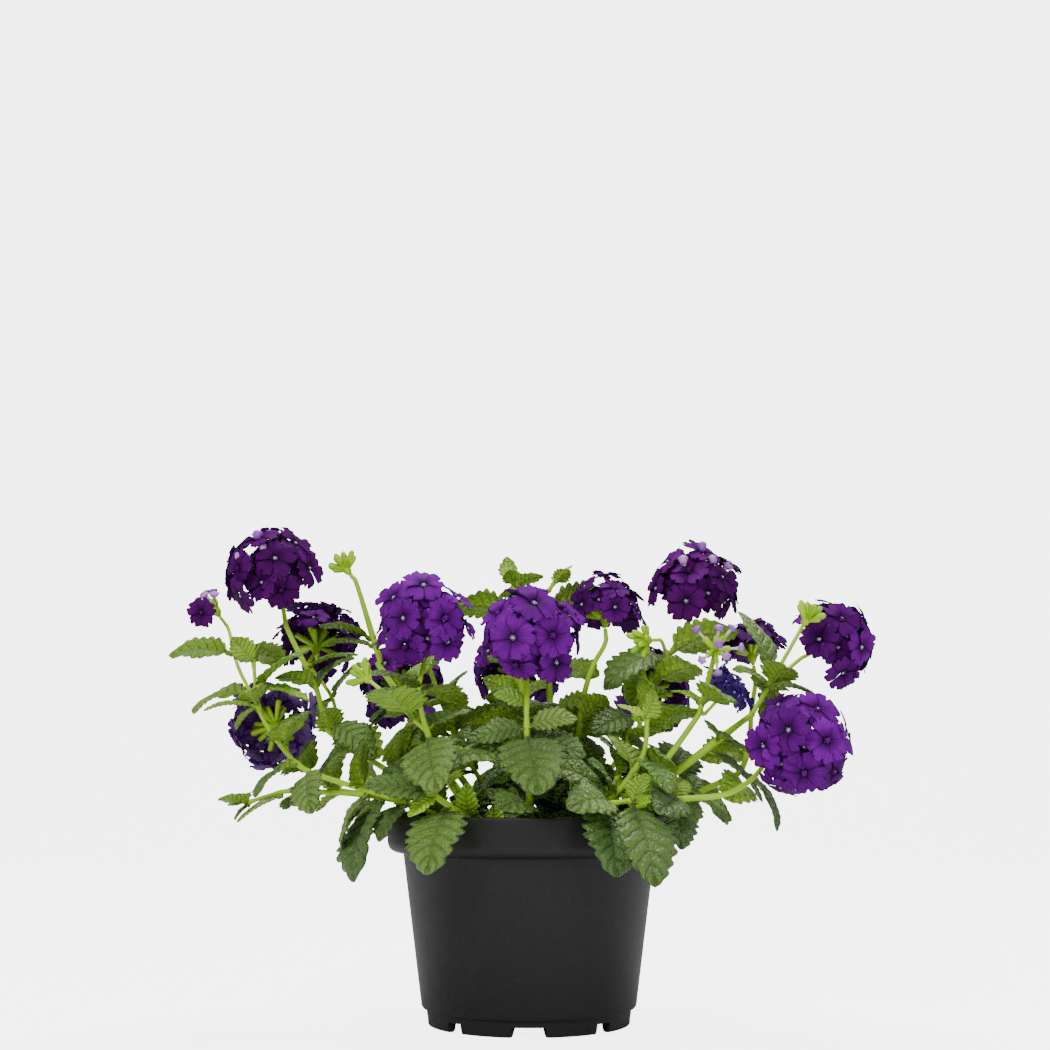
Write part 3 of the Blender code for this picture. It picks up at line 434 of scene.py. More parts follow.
def leaf_frame(leaf, share):
    """The blade's middle at this share of its length, and the ways ahead, sideways and out."""
    chord = leaf["tip"] - leaf["base"]
    forward = chord.normalized()
    side = forward.cross(leaf["light"])
    if side.length < 0.2:
        side = forward.cross(leaf["light"] + Vector((0, 0, 0.5)))
    side.normalize()
    upper = side.cross(forward)
    lean = Quaternion(forward, math.radians(-leaf["roll"]))
    side, upper = lean @ side, lean @ upper
    bend = math.radians(leaf["droop"])
    radius = chord.length / (2 * math.sin(bend / 2))
    angle = bend * (share - 0.5)
    middle = (leaf["base"] + leaf["tip"]) / 2 - upper * (radius * math.cos(bend / 2))
    outward = upper * math.cos(angle) + forward * math.sin(angle)
    ahead = forward * math.cos(angle) - upper * math.sin(angle)
    return middle + outward * radius, ahead, side, outward


def blade_width(leaf, share):
    """Half width of the blade without its teeth."""
    if share <= PETIOLE_SHARE:
        return PETIOLE_HALF_WIDTH
    s = (share - PETIOLE_SHARE) / (1 - PETIOLE_SHARE)
    full = math.sin(math.pi * s**0.72) ** 0.8 if 0 < s < 1 else 0.0
    return PETIOLE_HALF_WIDTH * (1 - s) + leaf["half_width"] * full


def blade_edge(leaf, share, side_sign, reach):
    """A point of the blade's rim: it rises from the rib and then curls down."""
    place, _, side, outward = leaf_frame(leaf, share)
    width = blade_width(leaf, share) * reach
    return place + side * (side_sign * width) + outward * (leaf["fold"] * width)


def leaf_outline(teeth):
    """Shares of the length and reaches of the rim's corners, then the shares of the rib's."""
    ribs = (ROOT_RIB, 0.34, 0.62, 0.86) if teeth > 2 else (ROOT_RIB, 0.55)
    rim = [(PETIOLE_SHARE, 1.0)]
    for k in range(teeth):
        notch = PETIOLE_SHARE + (1 - PETIOLE_SHARE) * (k + 0.15) / (teeth + 0.35)
        crest = PETIOLE_SHARE + (1 - PETIOLE_SHARE) * (k + 0.85) / (teeth + 0.35)
        if k or teeth > 2:
            rim.append((notch, 1 - TOOTH_DEPTH * 0.8))
        rim.append((crest, 1 + TOOTH_DEPTH))
    return rim, ribs


def leaf_solid(leaf, swell=0.0):
    """Points and faces of a toothed blade: lens-shaped across, its rim shared by both faces."""
    rim, ribs = leaf_outline(leaf["teeth"])
    root, ahead, _, _ = leaf_frame(leaf, TEST_START if swell else 0.0)
    tip, end, _, _ = leaf_frame(leaf, 1.0)
    points = [root if swell else root - ahead * ROOT_SINK, tip + end * swell]
    chains = {}
    for sign in (-1, 1):
        chains[sign] = [(0.0, 0)]
        for share, reach in rim:
            side = leaf_frame(leaf, share)[2]
            chains[sign].append((share, len(points)))
            points.append(blade_edge(leaf, share, sign, reach) + side * (sign * swell))
        chains[sign].append((1.0, 1))
    faces = []
    for level in (1, -1):
        middle = [(0.0, 0)]
        for share in ribs:
            rib, _, _, outward = leaf_frame(leaf, share)
            middle.append((share, len(points)))
            half = level * (LEAF_THICKNESS + swell) * (1 - 0.45 * share) / 2
            points.append(rib + outward * half)
        middle.append((1.0, 1))
        for sign in (-1, 1):
            faces += strip(chains[sign], middle, level * sign > 0)
    return points, faces


def strip(rim, ribs, flip):
    """Triangles between two chains of (share, index), taken in the order of their shares."""
    faces = []
    i = j = 0
    while i < len(rim) - 1 or j < len(ribs) - 1:
        step_rim = j == len(ribs) - 1 or (i < len(rim) - 1 and rim[i + 1][0] <= ribs[j + 1][0])
        if step_rim:
            face = (rim[i][1], rim[i + 1][1], ribs[j][1])
            i += 1
        else:
            face = (rim[i][1], ribs[j + 1][1], ribs[j][1])
            j += 1
        if len(set(face)) == 3:
            faces.append(face[::-1] if flip else face)
    return faces


def tree_of(points, faces):
    return BVHTree.FromPolygons(points, faces)


def circle(radius, height, sides, shift=0.0):
    """A level ring of points round the pot's axis, turned by a share of one step."""
    turns = [2 * math.pi * (k + shift) / sides for k in range(sides)]
    return [Vector((radius * math.cos(turn), radius * math.sin(turn), height)) for turn in turns]


def bands(rows, sides, first=0, flip=False):
    """Quads between rings of points that follow each other, the first of them at index first."""
    faces = []
    for i in range(rows - 1):
        for k in range(sides):
            a, b = first + i * sides + k, first + i * sides + (k + 1) % sides
            faces.append((a, a + sides, b + sides, b) if flip else (a, b, b + sides, a + sides))
    return faces


def along_frames(line):
    """For each point of a line its number, its place and two ways square to the line."""
    side = None
    for i, place in enumerate(line):
        ahead = (line[min(i + 1, len(line) - 1)] - line[max(i - 1, 0)]).normalized()
        if side is None:
            side = ahead.cross(Vector((0.3, 0.9, 0.2)))
        side = (side - ahead * side.dot(ahead)).normalized()
        yield i, place, side, ahead.cross(side)


def tube_faces(line, root, tip, sides=STEM_SIDES):
    """Points and faces of a closed tube along a line, its radius running from root to tip."""
    points = []
    for i, place, side, other in along_frames(line):
        radius = root + (tip - root) * i / (len(line) - 1)
        for k in range(sides):
            turn = 2 * math.pi * k / sides
            points.append(place + (side * math.cos(turn) + other * math.sin(turn)) * radius)
    faces = bands(len(line), sides)
    faces.append(tuple(range(sides))[::-1])
    faces.append(tuple(len(points) - sides + k for k in range(sides)))
    return points, faces


def across(axis):
    """Two directions square to an axis and to each other."""
    side = axis.cross(Vector((0.2, 0.3, 1))).normalized()
    return side, axis.cross(side)


def dome_way(axis, side, other, tilt, turn):
    """The direction tilted from an axis by tilt, turned round it by turn."""
    return axis * math.cos(tilt) + (side * math.cos(turn) + other * math.sin(turn)) * math.sin(tilt)


def floret_places(name):
    """Each floret of a head as (middle of its limb, the way it faces, size, turn, reach)."""
    _, _, size, rings = HEADS[name]
    centre, axis = head_centre(name), head_axis(name)
    side, other = across(axis)
    draw = random.Random(name)
    found = []
    for polar, count, first, layer in rings:
        for k in range(count):
            turn = math.radians(first + 360 * (k + draw.uniform(-0.06, 0.06)) / count)
            tilt = math.radians(polar + draw.uniform(-4, 4))
            facing = dome_way(axis, side, other, tilt, turn)
            reach = HEAD_RADIUS * size + LAYER_STEP * (layer + 0.5 * (k % 2))
            lean = Vector((draw.uniform(-1, 1), draw.uniform(-1, 1), draw.uniform(-1, 1))) * 0.05
            facing_out = (facing + lean).normalized()
            spread = size * draw.uniform(0.94, 1.04)
            found.append((centre + facing * reach, facing_out, spread, draw.random(), reach))
    return found


def head_hull(name):
    """A rough ball round a head, which leaves keep out of."""
    _, _, size, _ = HEADS[name]
    ball = bmesh.new()
    bmesh.ops.create_icosphere(ball, subdivisions=2, radius=(HEAD_RADIUS + HULL_MARGIN) * size)
    points = [v.co + head_centre(name) + head_axis(name) * HULL_SHIFT for v in ball.verts]
    faces = [[v.index for v in f.verts] for f in ball.faces]
    ball.free()
    return points, faces


def new_leaf(base, reach, droop, roll, portrait):
    return {
        "base": base,
        "tip": base + reach,
        "light": (UP + Vector((base.x, base.y, 0)).normalized() * OUTWARD_LIGHT).normalized(),
        "droop": droop,
        "roll": roll,
        "fold": LEAF_FOLD,
        "half_width": LEAF_WIDTH_SHARE * reach.length,
        "teeth": 3 if portrait else 2 if reach.length > YOUNG_LEAF_FROM else 1,
    }


class Growth:
    """The stems with their leaves, and all that a new leaf has to keep clear of."""

    def __init__(self):
        self.obstacles = [("head", tree_of(*head_hull(name))) for name in HEADS]
        self.plants = {}
        for name in STEMS:
            runs = stem_runs(name)
            for line, root, tip, _ in runs:
                tube = tube_faces(line, root + TEST_MARGIN, tip + TEST_MARGIN)
                self.obstacles.append((name, tree_of(*tube)))
            self.plants[name] = {"runs": runs, "leaves": []}
        self.obstacles.append(("pot", tree_of(*rim_wall())))

    def try_leaf(self, stem, base, ahead, reach, droop, roll, nudges, portrait=False):
        """Adds the leaf in the first nudged position where it meets nothing."""
        for turn, lift, share in nudges:
            way = reach.copy()
            way.rotate(rotation(ahead, turn))
            level = way.cross(UP)
            if level.length > 1e-3:
                way.rotate(rotation(level, lift))
            if way.length * share < SHORTEST_LEAF:
                continue
            leaf = new_leaf(base, way * share, droop, roll, portrait)
            shape = tree_of(*leaf_solid(leaf, TEST_MARGIN))
            if any(owner != stem and shape.overlap(tree) for owner, tree in self.obstacles):
                continue
            self.obstacles.append(("leaf", shape))
            self.plants[stem]["leaves"].append(leaf)
            return

    def portrait_leaf(self, stem, base, tip, droop, roll):
        lines = [run[0] for run in self.plants[stem]["runs"]]
        base, tip = Vector(base), Vector(tip)
        line = min(lines, key=lambda one: (nearest_on(one, base) - base).length)
        start = nearest_on(line, base)
        ahead = (line[-1] - line[0]).normalized()
        self.try_leaf(stem, start, ahead, tip - start, droop, roll, NUDGES[:9], True)

    def leaf_pairs(self, stem, line, end, draw):
        """Opposite pairs up a stem, each a right angle from the last. Returns the next turn."""
        total = length_of(line)
        distance = draw.uniform(2, 9)
        turn = draw.uniform(0, 90)
        while distance < total - (BARE_BELOW_HEAD if end in HEADS else BARE_TIP):
            place, ahead = along(line, distance)
            if place.z > LOWEST_PAIR or math.hypot(place.x, place.y) > RIM_RADIUS + 4:
                grown = distance / total
                length = LEAF_LENGTH * (1 - grown) + YOUNG_LEAF_LENGTH * grown
                length = length * draw.uniform(0.88, 1.08)
                for half in (0, 180):
                    out = outward_from(ahead, turn + half)
                    way = out * 0.9 + ahead * 0.3 - UP * draw.uniform(0, 0.5)
                    reach = way.normalized() * length
                    droop, roll = draw.uniform(45, 75), draw.uniform(-12, 12)
                    self.try_leaf(stem, place, ahead, reach, droop, roll, NUDGES)
            turn += 90 + draw.uniform(-12, 12)
            spacing = PAIR_SPACING + SPACING_GROWTH * distance / total
            distance += spacing * draw.uniform(0.85, 1.15)
        return turn

    def tuft(self, stem, line, turn):
        """Young leaves at a stem's tip, the first nearly upright."""
        place, ahead = line[-1], (line[-1] - line[-2]).normalized()
        for k in range(TUFT_COUNT):
            out = outward_from(ahead, turn + 360 / TUFT_COUNT * k)
            rise, length = (0.7, TUFT_LENGTH * 1.3) if k else (1.2, TUFT_LENGTH * 0.9)
            reach = (out * 0.75 + ahead * rise).normalized() * length
            self.try_leaf(stem, place, ahead, reach, 30, 0, NUDGES[:5])


def outward_from(ahead, turn):
    """A direction square to the stem, turned about it."""
    out = ahead.cross(Vector((0.31, 0.17, 0.93))).normalized()
    out.rotate(rotation(ahead, turn))
    return out


def grow():
    """Every stem with its leaves: those listed first, then the pairs and the tips."""
    growth = Growth()
    for leaf in PORTRAIT_LEAVES:
        growth.portrait_leaf(*leaf)
    for stem in STEMS:
        draw = random.Random(stem)
        turn = 0
        for line, _, _, end in growth.plants[stem]["runs"]:
            turn = growth.leaf_pairs(stem, line, end, draw)
        for line, _, _, end in growth.plants[stem]["runs"]:
            if end == "tuft":
                growth.tuft(stem, line, turn)
    return growth


def rotation(axis, degrees):
    return Quaternion(axis, math.radians(degrees))


def rim_wall():
    """The pot's upper wall and the soil's level, which leaves keep clear of."""
    profile = [
        (0, SOIL_LEVEL + 2.2),
        (RIM_RADIUS - WALL - 0.6, SOIL_LEVEL + 2.0),
        (RIM_RADIUS - WALL - 0.6, POT_HEIGHT + 0.5),
        (RIM_RADIUS + 0.7, POT_HEIGHT + 0.5),
        (RIM_RADIUS + 0.7, POT_HEIGHT - RIM_BAND - 1),
        (BODY_TOP_RADIUS + 0.7, POT_HEIGHT - RIM_BAND - 2),
        (FOOT_RADIUS + 0.7, 0),
    ]
    points = [point for radius, height in profile for point in circle(radius, height, WALL_SIDES)]
    return points, bands(len(profile), WALL_SIDES)


def bud_cluster(centre, axis, cluster, seed):
    """The buds of a cluster round an axis, the first along it."""
    count, spread, length, radius = cluster
    side, other = across(axis)
    draw = random.Random(seed)
    found = []
    for k in range(count):
        tilt = math.radians(spread * (k / (count - 1)) ** 0.5)
        turn = k * BUD_TURN
        facing = dome_way(axis, side, other, tilt, turn)
        tip = centre + facing * length * draw.uniform(0.88, 1.05)
        found.append((centre - facing * 0.8, tip, radius))
    return found


def pot_profile():
    """Radius and height from the middle of the floor, up inside, over the rim and down outside."""
    band = POT_HEIGHT - RIM_BAND
    return [
        (0, FLOOR_TOP),
        (BODY_FOOT_RADIUS - WALL - 1.0, FLOOR_TOP),
        (BODY_FOOT_RADIUS - WALL, FLOOR_TOP + 2.0),
        (BODY_TOP_RADIUS - WALL, band + 1.0),
        (RIM_RADIUS - WALL - 2.0, band + 2.2),
        (RIM_RADIUS - WALL, band + 5.0),
        (RIM_RADIUS - WALL, POT_HEIGHT),
        (RIM_RADIUS - 0.4, POT_HEIGHT),
        (RIM_RADIUS, POT_HEIGHT - 0.6),
        (RIM_RADIUS - 0.2, band + 4.2),
        (RIM_RADIUS - 1.2, band + 1.6),
        (RIM_RADIUS - 3.6, band + 0.2),
        (BODY_TOP_RADIUS, band),
        (BODY_FOOT_RADIUS, FOOT_HEIGHT + 1.0),
        (BODY_FOOT_RADIUS - 0.6, FOOT_HEIGHT),
        (FOOT_RADIUS + 0.4, FOOT_HEIGHT - 0.4),
        (FOOT_RADIUS, 0),
        (FOOT_RADIUS - FOOT_WIDTH, 0),
        (FOOT_RADIUS - FOOT_WIDTH - 0.6, FLOOR_UNDER),
        (0, FLOOR_UNDER),
    ]


def soil_height(x, y):
    """Lumpy peat, a little higher round the stems than at the wall."""
    radius = math.hypot(x, y)
    lumps = 0.8 * math.sin(0.21 * x + 1.3) * math.cos(0.19 * y - 0.4)
    lumps += 0.5 * math.sin(0.37 * x - 0.31 * y)
    return SOIL_LEVEL + lumps + 0.8 * math.cos(radius / 62 * math.pi / 2)


# Fine meshes

def in_scene(name, data):
    """A new object in the scene."""
    obj = bpy.data.objects.new(name, data)
    bpy.context.scene.collection.objects.link(obj)
    return obj


def smooth(mesh):
    mesh.polygons.foreach_set("use_smooth", [True] * len(mesh.polygons))


class Gather:
    """Collects the grids of one visible piece, with their texture tiles and surface values."""

    def __init__(self, tiles):
        self.side = max(1, math.ceil(math.sqrt(tiles)))
        self.count = 0
        self.tile = 0
        self.points, self.faces, self.corners = [], [], []
        self.spots, self.marks = [], []

    def add(self, points, faces, corners, spot, marks):
        """points and spot n by 3, points in millimetres; corners a pair a corner; marks a face."""
        offset = np.array([self.tile % self.side, self.tile // self.side])
        points, corners = np.asarray(points), np.asarray(corners)
        if volume(points, faces) < 0:
            faces, corners = turned(faces, corners)
        self.points.append(points)
        self.faces += [[i + self.count for i in face] for face in faces]
        self.corners.append((corners * 0.94 + 0.03 + offset) / self.side)
        self.spots.append(np.asarray(spot))
        self.marks.append(np.asarray(marks))
        self.count += len(points)
        self.tile += 1

    def build(self, name, material):
        mesh = bpy.data.meshes.new(name)
        mesh.from_pydata((np.concatenate(self.points) * MM).tolist(), [], self.faces)
        layer = mesh.uv_layers.new(name="OFBake")
        layer.data.foreach_set("uv", np.concatenate(self.corners).astype(np.float32).ravel())
        spot = mesh.attributes.new("spot", "FLOAT_VECTOR", "POINT")
        spot.data.foreach_set("vector", np.concatenate(self.spots).astype(np.float32).ravel())
        marks = np.concatenate(self.marks).astype(np.float32)
        for number, label in enumerate(("under", "tint", "young", "faded")):
            mark = mesh.attributes.new(label, "FLOAT", "FACE")
            mark.data.foreach_set("value", np.ascontiguousarray(marks[:, number]))
        smooth(mesh)
        mesh.materials.append(material)
        mesh.update()
        return in_scene(name, mesh)


def volume(points, faces):
    """Six times the volume inside the faces: negative where they look inwards."""
    fans = [(face[0], face[k], face[k + 1]) for face in faces for k in range(1, len(face) - 1)]
    a, b, c = (points[index] for index in np.array(fans).T)
    return float((np.cross(a, b) * c).sum())


def turned(faces, corners):
    """The same faces the other way out, with their corners."""
    found, at = [], 0
    for face in faces:
        found.append(corners[at : at + len(face)][::-1])
        at += len(face)
    return [face[::-1] for face in faces], np.concatenate(found)


def grid_faces(rows, columns, wrap=False, flip=False):
    """Quads of a grid of points kept row by row, with each corner's place in it from 0 to 1."""
    faces, corners = [], []
    for i in range(rows - 1):
        for k in range(columns if wrap else columns - 1):
            after = (k + 1) % columns
            low, high = i * columns, (i + 1) * columns
            face = [low + k, low + after, high + after, high + k]
            span = columns if wrap else columns - 1
            place = [(i / (rows - 1), k / span), (i / (rows - 1), (k + 1) / span)]
            place += [((i + 1) / (rows - 1), (k + 1) / span), ((i + 1) / (rows - 1), k / span)]
            faces.append(face[::-1] if flip else face)
            corners += place[::-1] if flip else place
    return faces, corners


def shell(upper, lower, rows, columns):
    """Two matching grids as one closed skin: the rims of the lower grid are those of the upper."""
    faces, corners = grid_faces(rows, columns)
    under, under_corners = grid_faces(rows, columns, flip=True)
    upper, lower = upper.reshape(rows, columns, 3), lower.reshape(rows, columns, 3)
    number = np.full((rows, columns), -1)
    inner = [(i, k) for i in range(1, rows - 1) for k in range(1, columns - 1)]
    for place, (i, k) in enumerate(inner):
        number[i, k] = rows * columns + place
    rim = number < 0
    number[rim] = np.arange(rows * columns).reshape(rows, columns)[rim]
    number = number.ravel()
    points = np.concatenate([upper.reshape(-1, 3), np.array([lower[i, k] for i, k in inner])])
    faces += [[int(number[i]) for i in face] for face in under]
    corners = np.array(corners)
    under_corners = np.array(under_corners)
    corners[:, 1] = corners[:, 1] * 0.48
    under_corners[:, 1] = under_corners[:, 1] * 0.48 + 0.52
    half = len(faces) // 2
    kept = [i * columns + k for i, k in inner]
    return points, faces, np.concatenate([corners, under_corners]), half, kept


def blade_frames(leaf, shares):
    """The blade's arc at several shares of its length, each part of the frame as an array."""
    found = [leaf_frame(leaf, float(share)) for share in shares]
    return [np.array([list(frame[i]) for frame in found]) for i in range(4)]


def fine_leaf(gather, leaf, seed):
    """A toothed blade with a sunken net of veins, puckered between them."""
    draw = random.Random(seed)
    length = (leaf["tip"] - leaf["base"]).length
    small = leaf["teeth"] == 1
    rows, columns = (SMALL_ROWS, SMALL_COLUMNS) if small else (FINE_ROWS, FINE_COLUMNS)
    scale = length / GRAIN_LENGTH
    shares = np.linspace(0, 1, rows) ** 0.96
    places, _, sides, outs = blade_frames(leaf, shares)
    blade = np.clip((shares - PETIOLE_SHARE) / (1 - PETIOLE_SHARE), 0, 1)
    widths = PETIOLE_HALF_WIDTH * (1 - blade) + 0.12
    widths += LEAF_SPREAD * leaf["half_width"] * np.sin(np.pi * blade**0.74).clip(0, 1) ** 0.66
    teeth = SMALL_TEETH if small else TEETH
    u, v = np.meshgrid(blade, np.linspace(-1, 1, columns), indexing="ij")
    off = np.abs(v)
    saw = (u * (teeth + 0.3) + 0.35 * (v < 0)) % 1.0
    inside = np.clip(u * 9, 0, 1) * np.clip((1 - u) * 9, 0, 1)
    scallop = np.sin(np.pi * saw**1.35) ** 0.55 - 0.75
    wide = widths[:, None] * (1 + FINE_TOOTH * scallop * inside * off**2) * v * (1 - 0.04 * off**2)
    phase = u * VEINS + 0.35 - off * VEIN_LEAN
    pucker = np.abs(np.sin(np.pi * phase)) ** 0.6
    relief = PUCKER * (pucker * np.clip(off * 3.2, 0, 1) * (1 - off**4) - 0.35)
    relief += 0.2 * PUCKER * np.sin(phase * 9 + off * 17 + draw.random() * 6) * (1 - off)
    waves = (11 + 3 * draw.random()) * u + 3 * np.sign(v) + draw.random() * 6
    relief += EDGE_RIPPLE * off**3 * np.sin(waves) - EDGE_CURL * off**3.2
    lift = leaf["fold"] * np.abs(wide) + relief * scale * inside
    upper = places[:, None] + sides[:, None] * wide[..., None] + outs[:, None] * lift[..., None]
    rib = np.exp(-((v * 5) ** 2)) * (0.7 * (1 - u) + 0.15)
    thick = np.where(u <= 0, 1.1, 0.42) + rib
    lower = upper - outs[:, None] * thick[..., None]
    points, faces, corners, half, kept = shell(upper, lower, rows, columns)
    spot = np.stack([u.ravel(), v.ravel(), np.full(u.size, scale)], axis=1)
    spot = np.concatenate([spot, spot[kept]])
    marks = np.zeros((len(faces), 4))
    marks[half:, 0] = 1
    marks[:, 1] = draw.random()
    marks[:, 2] = youth(leaf, length)
    gather.add(points, faces, corners, spot, marks)


def youth(leaf, length):
    """How light and fresh a leaf is: short ones near tips are, and those high on new shoots."""
    first, most = FRESH_SHOOTS.get(leaf["stem"], (0.0, 0.0))
    high = most if first and leaf["base"].z > first else 0.0
    return max(0.0, min(1.0, (GROWN_FROM - length) / FRESH_SPAN + high))


def round_skin(gather, points, spots, rows, sides, tint, young, faded=0.0):
    """Adds rings of points as one closed skin with flat ends."""
    faces, corners = grid_faces(rows, sides, wrap=True)
    faces += [list(range(sides))[::-1], [len(points) - sides + k for k in range(sides)]]
    corners += [(0.0, 0.5)] * sides + [(1.0, 0.5)] * sides
    marks = np.tile([0.0, tint, young, faded], (len(faces), 1))
    gather.add(np.array([list(p) for p in points]), faces, corners, spots, marks)


def fine_tube(gather, line, radii, sides, tint, young, bulges=()):
    """A smooth round stem; bulges are the distances along it of its leaf pairs."""
    run, points, spots = 0.0, [], []
    for i, place, side, other in along_frames(line):
        if i:
            run += (place - line[i - 1]).length
        swell = sum(NODE_SWELL * math.exp(-(((run - at) / 1.6) ** 2)) for at in bulges)
        for k in range(sides):
            turn = 2 * math.pi * k / sides
            square = 1 + 0.06 * math.cos(4 * turn)
            radius = (radii[i] + swell) * square
            points.append(place + (side * math.cos(turn) + other * math.sin(turn)) * radius)
            spots.append((run / GRAIN_LENGTH, k / sides, 0))
    round_skin(gather, points, spots, len(line), sides, tint, young)


def lathe(gather, root, tip, profile, sides, tint=0.5, young=0.0, lobes=0, along=None, faded=0.0):
    """A turned shape along root to tip; profile is (share of the length, radius)."""
    ahead = (tip - root).normalized()
    side, other = across(ahead)
    length = (tip - root).length
    points, spots = [], []
    for share, radius in profile:
        for k in range(sides):
            turn = 2 * math.pi * k / sides
            ridge = 1 + (0.14 * math.cos(lobes * turn) if lobes else 0)
            way = side * math.cos(turn) + other * math.sin(turn)
            points.append(root + ahead * (length * share) + way * (radius * ridge))
            spots.append((share if along is None else along, k / sides, 0))
    round_skin(gather, points, spots, len(profile), sides, tint, young, faded)


def fine_petal(place, facing, out, radius, shape):
    """One notched petal from the throat outwards, as a closed thin skin with its places."""
    tilt, twist, phase, length = shape
    side = facing.cross(out)
    rows, columns = np.linspace(0, 1, PETAL_ROWS), np.linspace(-1, 1, PETAL_COLUMNS)
    share, v = np.meshgrid(rows, columns, indexing="ij")
    half = PETAL_WIDTH * np.sin(np.pi / 2 * np.minimum(1, 0.06 + share * 1.1)) ** 0.95
    half = half * (1 - 0.36 * share**5)
    notched = PETAL_NOTCH * np.exp(-((v / 0.24) ** 2)) * share**3
    notched = notched + 0.2 * np.abs(v) ** 2.4 * share**2
    along = THROAT + (1 - THROAT) * share * (1 - notched) * length
    height = -FINE_CURL * (along * radius) ** 2 + tilt * share**2 + 0.35 * share
    height += (twist + 0.42) * v * share
    height += 0.3 * np.sin(3.2 * np.pi * v * share + phase) * share**2
    height -= 0.45 * np.exp(-((v / 0.3) ** 2)) * share * (1.25 - share)
    height -= 1.1 * np.exp(-((share / 0.16) ** 2))
    vectors = [np.array(list(way)) for way in (place, out, side, facing)]
    flat = [(along * radius)[..., None] * vectors[1], (half * radius * v)[..., None] * vectors[2]]
    upper = vectors[0] + flat[0] + flat[1]
    lower = upper + (height - 0.26 + 0.14 * share)[..., None] * vectors[3]
    upper = upper + height[..., None] * vectors[3]
    points, faces, corners, cut, kept = shell(upper, lower, PETAL_ROWS, PETAL_COLUMNS)
    spot = np.stack([share.ravel(), v.ravel(), np.full(v.size, phase)], axis=1)
    return points, faces, corners, np.concatenate([spot, spot[kept]]), cut


def fine_floret(gather, floret, seed, shade, faded):
    """Five overlapping petals, each with its own tilt, round a pale mouth."""
    place, facing, size, turn, _ = floret
    draw = random.Random(seed)
    loose = Vector((draw.uniform(-1, 1), draw.uniform(-1, 1), draw.uniform(-1, 1))) * LOOSENESS
    place = place + facing * draw.uniform(-1.9, 1.0)
    facing = (facing + loose).normalized()
    side, other = across(facing)
    shift = draw.random()
    crumple = 1 + 1.6 * faded
    for petal in range(PETALS):
        angle = math.radians(72 * (petal + turn) + draw.uniform(-5, 5))
        out = side * math.cos(angle) + other * math.sin(angle)
        tilt, twist = draw.uniform(-1.8, 1.0) * crumple, draw.uniform(-0.5, 0.4) * crumple
        shape = (tilt, twist, draw.uniform(0, 6.28), draw.uniform(0.93, 1.06))
        stacked = place + facing * (0.22 * (petal * 2 % 5) - 0.3)
        radius = LIMB_RADIUS * size * FINE_LIMB
        points, faces, corners, spot, cut = fine_petal(stacked, facing, out, radius, shape)
        marks = np.zeros((len(faces), 4))
        marks[cut:, 0] = 1
        marks[:, 1] = min(1.0, max(0.0, shift + draw.uniform(-0.15, 0.15)))
        marks[:, 2], marks[:, 3] = shade, faded
        gather.add(points, faces, corners, spot, marks)
    eye = place - facing * 0.9
    lathe(gather, eye, eye + facing * 1.0, EYE, 10, tint=0.5, young=shade, along=0.0)


# Surfaces

# Colours as the shader takes them: red, green, blue and 1.
GROWN_LEAF = ((0.060, 0.145, 0.016, 1), (0.190, 0.340, 0.040, 1))
FRESH_LEAF = ((0.380, 0.800, 0.0, 1), (0.600, 0.960, 0.010, 1))
# Leaf undersides: their own paler green, brightened further as painted light shining through the
# blade.
LEAF_BACK_LIT_THROUGH = ((0.300, 0.560, 0.012, 1), (0.460, 0.740, 0.045, 1))
# The first vein colour is painted shade: it darkens the sunken veins of grown leaves as if shade
# lay in the grooves. The second is the young leaves' own pale veins.
VEIN_GROOVE_SHADE = (0.040, 0.095, 0.010, 1)
PALE_VEIN = (0.300, 0.420, 0.120, 1)
STEM = ((0.340, 0.660, 0.0, 1), (0.470, 0.830, 0.004, 1), (0.660, 0.960, 0.030, 1))
BRIGHT_PETAL = ((0.125, 0.0, 0.225, 1), (0.235, 0.0, 0.420, 1))
DARK_PETAL = ((0.060, 0.0, 0.075, 1), (0.130, 0.0, 0.180, 1))
THROAT_COLOUR = (0.022, 0.0, 0.040, 1)
FADED_PETAL = (0.060, 0.045, 0.420, 1)
EYE_COLOUR = (0.600, 0.520, 0.660, 1)
PETAL_BACK = ((0.220, 0.040, 0.420, 1), (0.090, 0.010, 0.150, 1), (0.460, 0.220, 0.800, 1))
POT_COLOUR = (0.012, 0.012, 0.013, 1)
PEAT_COLOUR = (0.050, 0.026, 0.014, 1)
CALYX = ((0.340, 0.640, 0.0, 1), (0.620, 0.920, 0.030, 1))
BUD_TIP_COLOURS = ((0.380, 0.100, 0.680, 1), (0.760, 0.400, 0.840, 1))
HAIR = ((0.550, 0.640, 0.300, 1), (0.700, 0.780, 0.450, 1))
TUBE_COLOURS = ((0.780, 0.780, 0.640, 1), (0.900, 0.860, 0.860, 1))


# The mottle of each surface, in the order of these labels.
MOTTLE_LABELS = (
    "Patch Scale", "Patch Depth", "Grain Scale", "Grain Bump", "Rough Low", "Rough High",
)
MOTTLE = {
    "leaf": (90.0, 0.35, 1500.0, 0.3, 0.32, 0.52),
    "stem": (70.0, 0.3, 2200.0, 0.3, 0.35, 0.55),
    "petal": (220.0, 0.2, 2600.0, 0.12, 0.55, 0.7),
    "calyx": (90.0, 0.3, 2000.0, 0.3, 0.4, 0.6),
    "hair": (90.0, 0.3, 2000.0, 0.3, 0.4, 0.6),
    "bud_tip": (400.0, 0.2, 2400.0, 0.2, 0.45, 0.6),
    "pot_plastic": (14.0, 0.12, 1400.0, 0.12, 0.42, 0.55),
    "peat": (160.0, 0.9, 1200.0, 0.9, 0.8, 1.0),
}

# Scale of the cells between a leaf's veins, and its relief: strength, and depth in metres.
BLISTER_SCALE = 700.0
LEAF_BUMP = (0.9, 0.0009)

# Veins of a leaf, and the finer streaks of a petal.
LEAF_LINES = {"Count": VEINS, "Lean": VEIN_LEAN, "Rib Width": 0.1, "Line Width": 0.2}
PETAL_LINES = {"Count": 0.0, "Lean": 3.0, "Shift": 0.5, "Rib Width": 0.12, "Line Width": 0.35}


NUMBER = "NodeSocketFloat"


